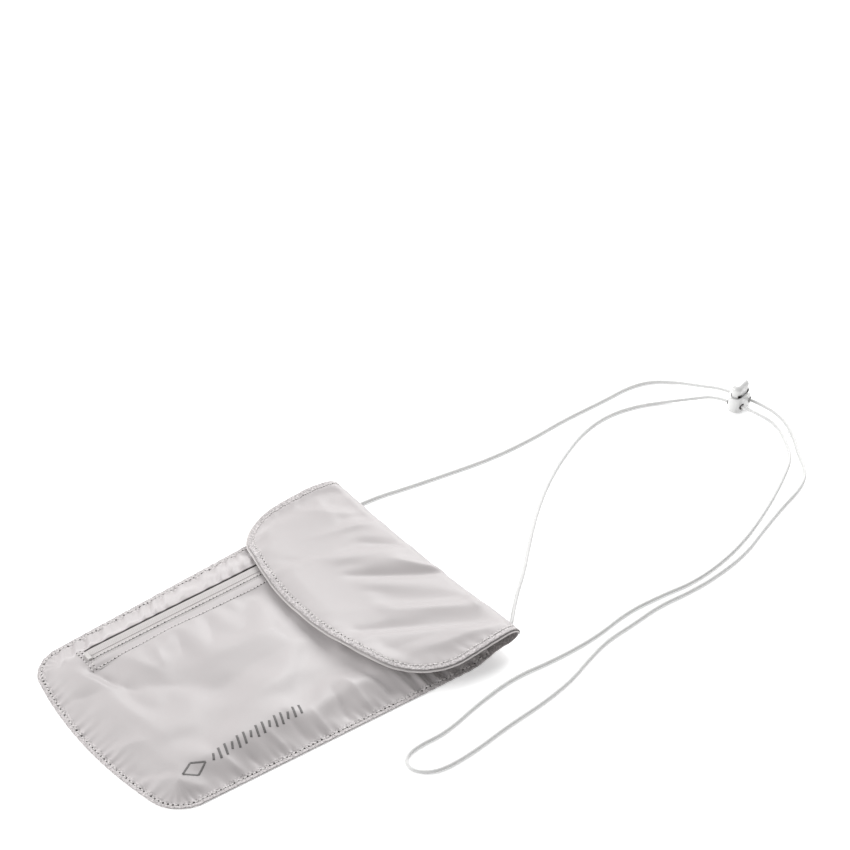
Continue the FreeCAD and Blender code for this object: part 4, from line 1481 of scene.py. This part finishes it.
def bar(name, start, end, width):
    """A printed stroke on the front cloth, from start to end."""
    (x0, y0), (x1, y1) = start, end
    length = math.hypot(x1 - x0, y1 - y0)
    ux, uy = (x1 - x0) / length, (y1 - y0) / length
    on, off = np.meshgrid(spread(0, max(4, int(length)), length), spread(-width / 2, 2, width / 2))
    across = x0 + on * ux - off * uy
    along = y0 + on * uy + off * ux
    top, normal = places(front_point, across, along)
    stroke = cloth(name, top + normal * INK_LIFT, normal, INK_SHEET, INK)
    attach(stroke, "pouch")


def make_mark():
    """A plain mark: a lozenge and a row of slanting strokes, every third one short."""
    near, far = LOZENGE_ALONG
    tips = ((MARK_ACROSS, near), (MARK_ACROSS - LOZENGE_HALF, (near + far) / 2), (MARK_ACROSS, far),
            (MARK_ACROSS + LOZENGE_HALF, (near + far) / 2))
    for number, (start, end) in enumerate(zip(tips, (*tips[1:], tips[0]))):
        bar(f"mark_side_{number}", start, end, LOZENGE_LINE)
    for number in range(STROKES):
        along = STROKE_START + number * STROKE_STEP
        reach = LONG_STROKE if number % 3 else SHORT_STROKE
        bar(f"mark_stroke_{number}", (MARK_ACROSS + reach, along - STROKE_SLANT),
            (MARK_ACROSS - reach, along + STROKE_SLANT), STROKE_LINE)


# ---- the flap ----

FLAP_LINER = Outline(start=FLAP.start - LINING_REACH, end=202.9, start_half=FLAP.start_half + LINING_REACH,
                     end_half=FLAP.end_half + LINING_REACH, bow=17, corners=(21.1, 28.1), straight=45.0)
FLAP_HEAD = FOLD_MIDDLE - FLAP.start
FLAP_TURN = FOLD_ALONG - FLAP.start - 2


def make_flap():
    """The flap's two cloths, with the fold's upper half, and its edge stitching."""
    wide = spread(-76, 150, 76)
    long = spread(0, 75, FLAP_TURN, 40, FLAP_HEAD)
    outer = panel("flap_cloth", FLAP, flap_point, wide, long, SHEET, SHELL)
    attach(outer, "flap", "flap_outer")
    wide = spread(-77.1, 150, 77.1)
    long = spread(0, 90, FLAP_TURN, 30, FLAP_HEAD + LINING_REACH - 0.5)
    lining = panel("flap_lining_cloth", FLAP_LINER, flap_point, wide, long, LINING_SHEET, LINING,
                   drop=SHEET + 0.5)
    attach(lining, "flap", "flap_lining")
    sew("flap_edge", FLAP.rim(FLAP_SEAM_INSET, FLAP_HEAD - 20), flap_point, "flap", shade_dot=0.34)


# ---- floor and light ----

TABLE_REACH = 4.0
WORLD_STRENGTH = 0.48
LIGHT_TARGET = Vector((0, 0.05, 0))
# Each light's place and size in metres, and its power.
LIGHTS = {
    "back_light": ((-0.7, 1.25, 1.05), 1.1, 31),
    "top_light": ((-0.5, 0.2, 1.7), 1.2, 5),
    "foot_light": ((-0.8, -1.35, 0.8), 1.3, 26),
}


def make_floor():
    """A plain pale table."""
    shader = Shader("floor", (0.93, 0.93, 0.93), 0.9, Specular_IOR_Level=0.1, Emission_Color=(1, 1, 1, 1),
                    Emission_Strength=0.28)
    shader.tint(shader.noise(300, 1), 0.998, 1.002)
    mesh = bpy.data.meshes.new("floor")
    corners = [(TABLE_REACH * x, TABLE_REACH * y, 0) for x, y in ((-1, -1), (1, -1), (1, 1), (-1, 1))]
    mesh.from_pydata(corners, [], [(0, 1, 2, 3)])
    mesh.materials.append(shader.material)
    floor = bpy.data.objects.new("floor", mesh)
    bpy.context.scene.collection.objects.link(floor)


def make_light(name, place, size, power):
    """A soft square light aimed at the pouch."""
    data = bpy.data.lights.new(name, "AREA")
    data.size = size
    data.energy = power
    light = bpy.data.objects.new(name, data)
    light.location = place
    light.rotation_euler = (Vector(place) - LIGHT_TARGET).to_track_quat("Z", "Y").to_euler()
    bpy.context.scene.collection.objects.link(light)


def make_studio():
    """Pale surroundings with a big soft light behind the fold."""
    world = bpy.data.worlds.new("studio")
    world.use_nodes = True
    background = world.node_tree.nodes["Background"]
    background.inputs["Color"].default_value = (1, 1, 1, 1)
    background.inputs["Strength"].default_value = WORLD_STRENGTH
    bpy.context.scene.world = world
    bpy.context.scene.view_settings.view_transform = "Standard"
    for name, settings in LIGHTS.items():
        make_light(name, *settings)


make_camera()
make_slack()
make_cord()
make_back()
make_front()
make_inside()
make_zip()
make_mark()
make_flap()
make_touch_fastener()
make_anchor("anchor_left", -62.0, "cord_anchor_left")
make_anchor("anchor_right", 62.0, "cord_anchor_right")
for finished_node, finish in FINISHES.items():
    finish_node(finished_node, *finish)
make_lock_shade()
make_floor()
make_studio()
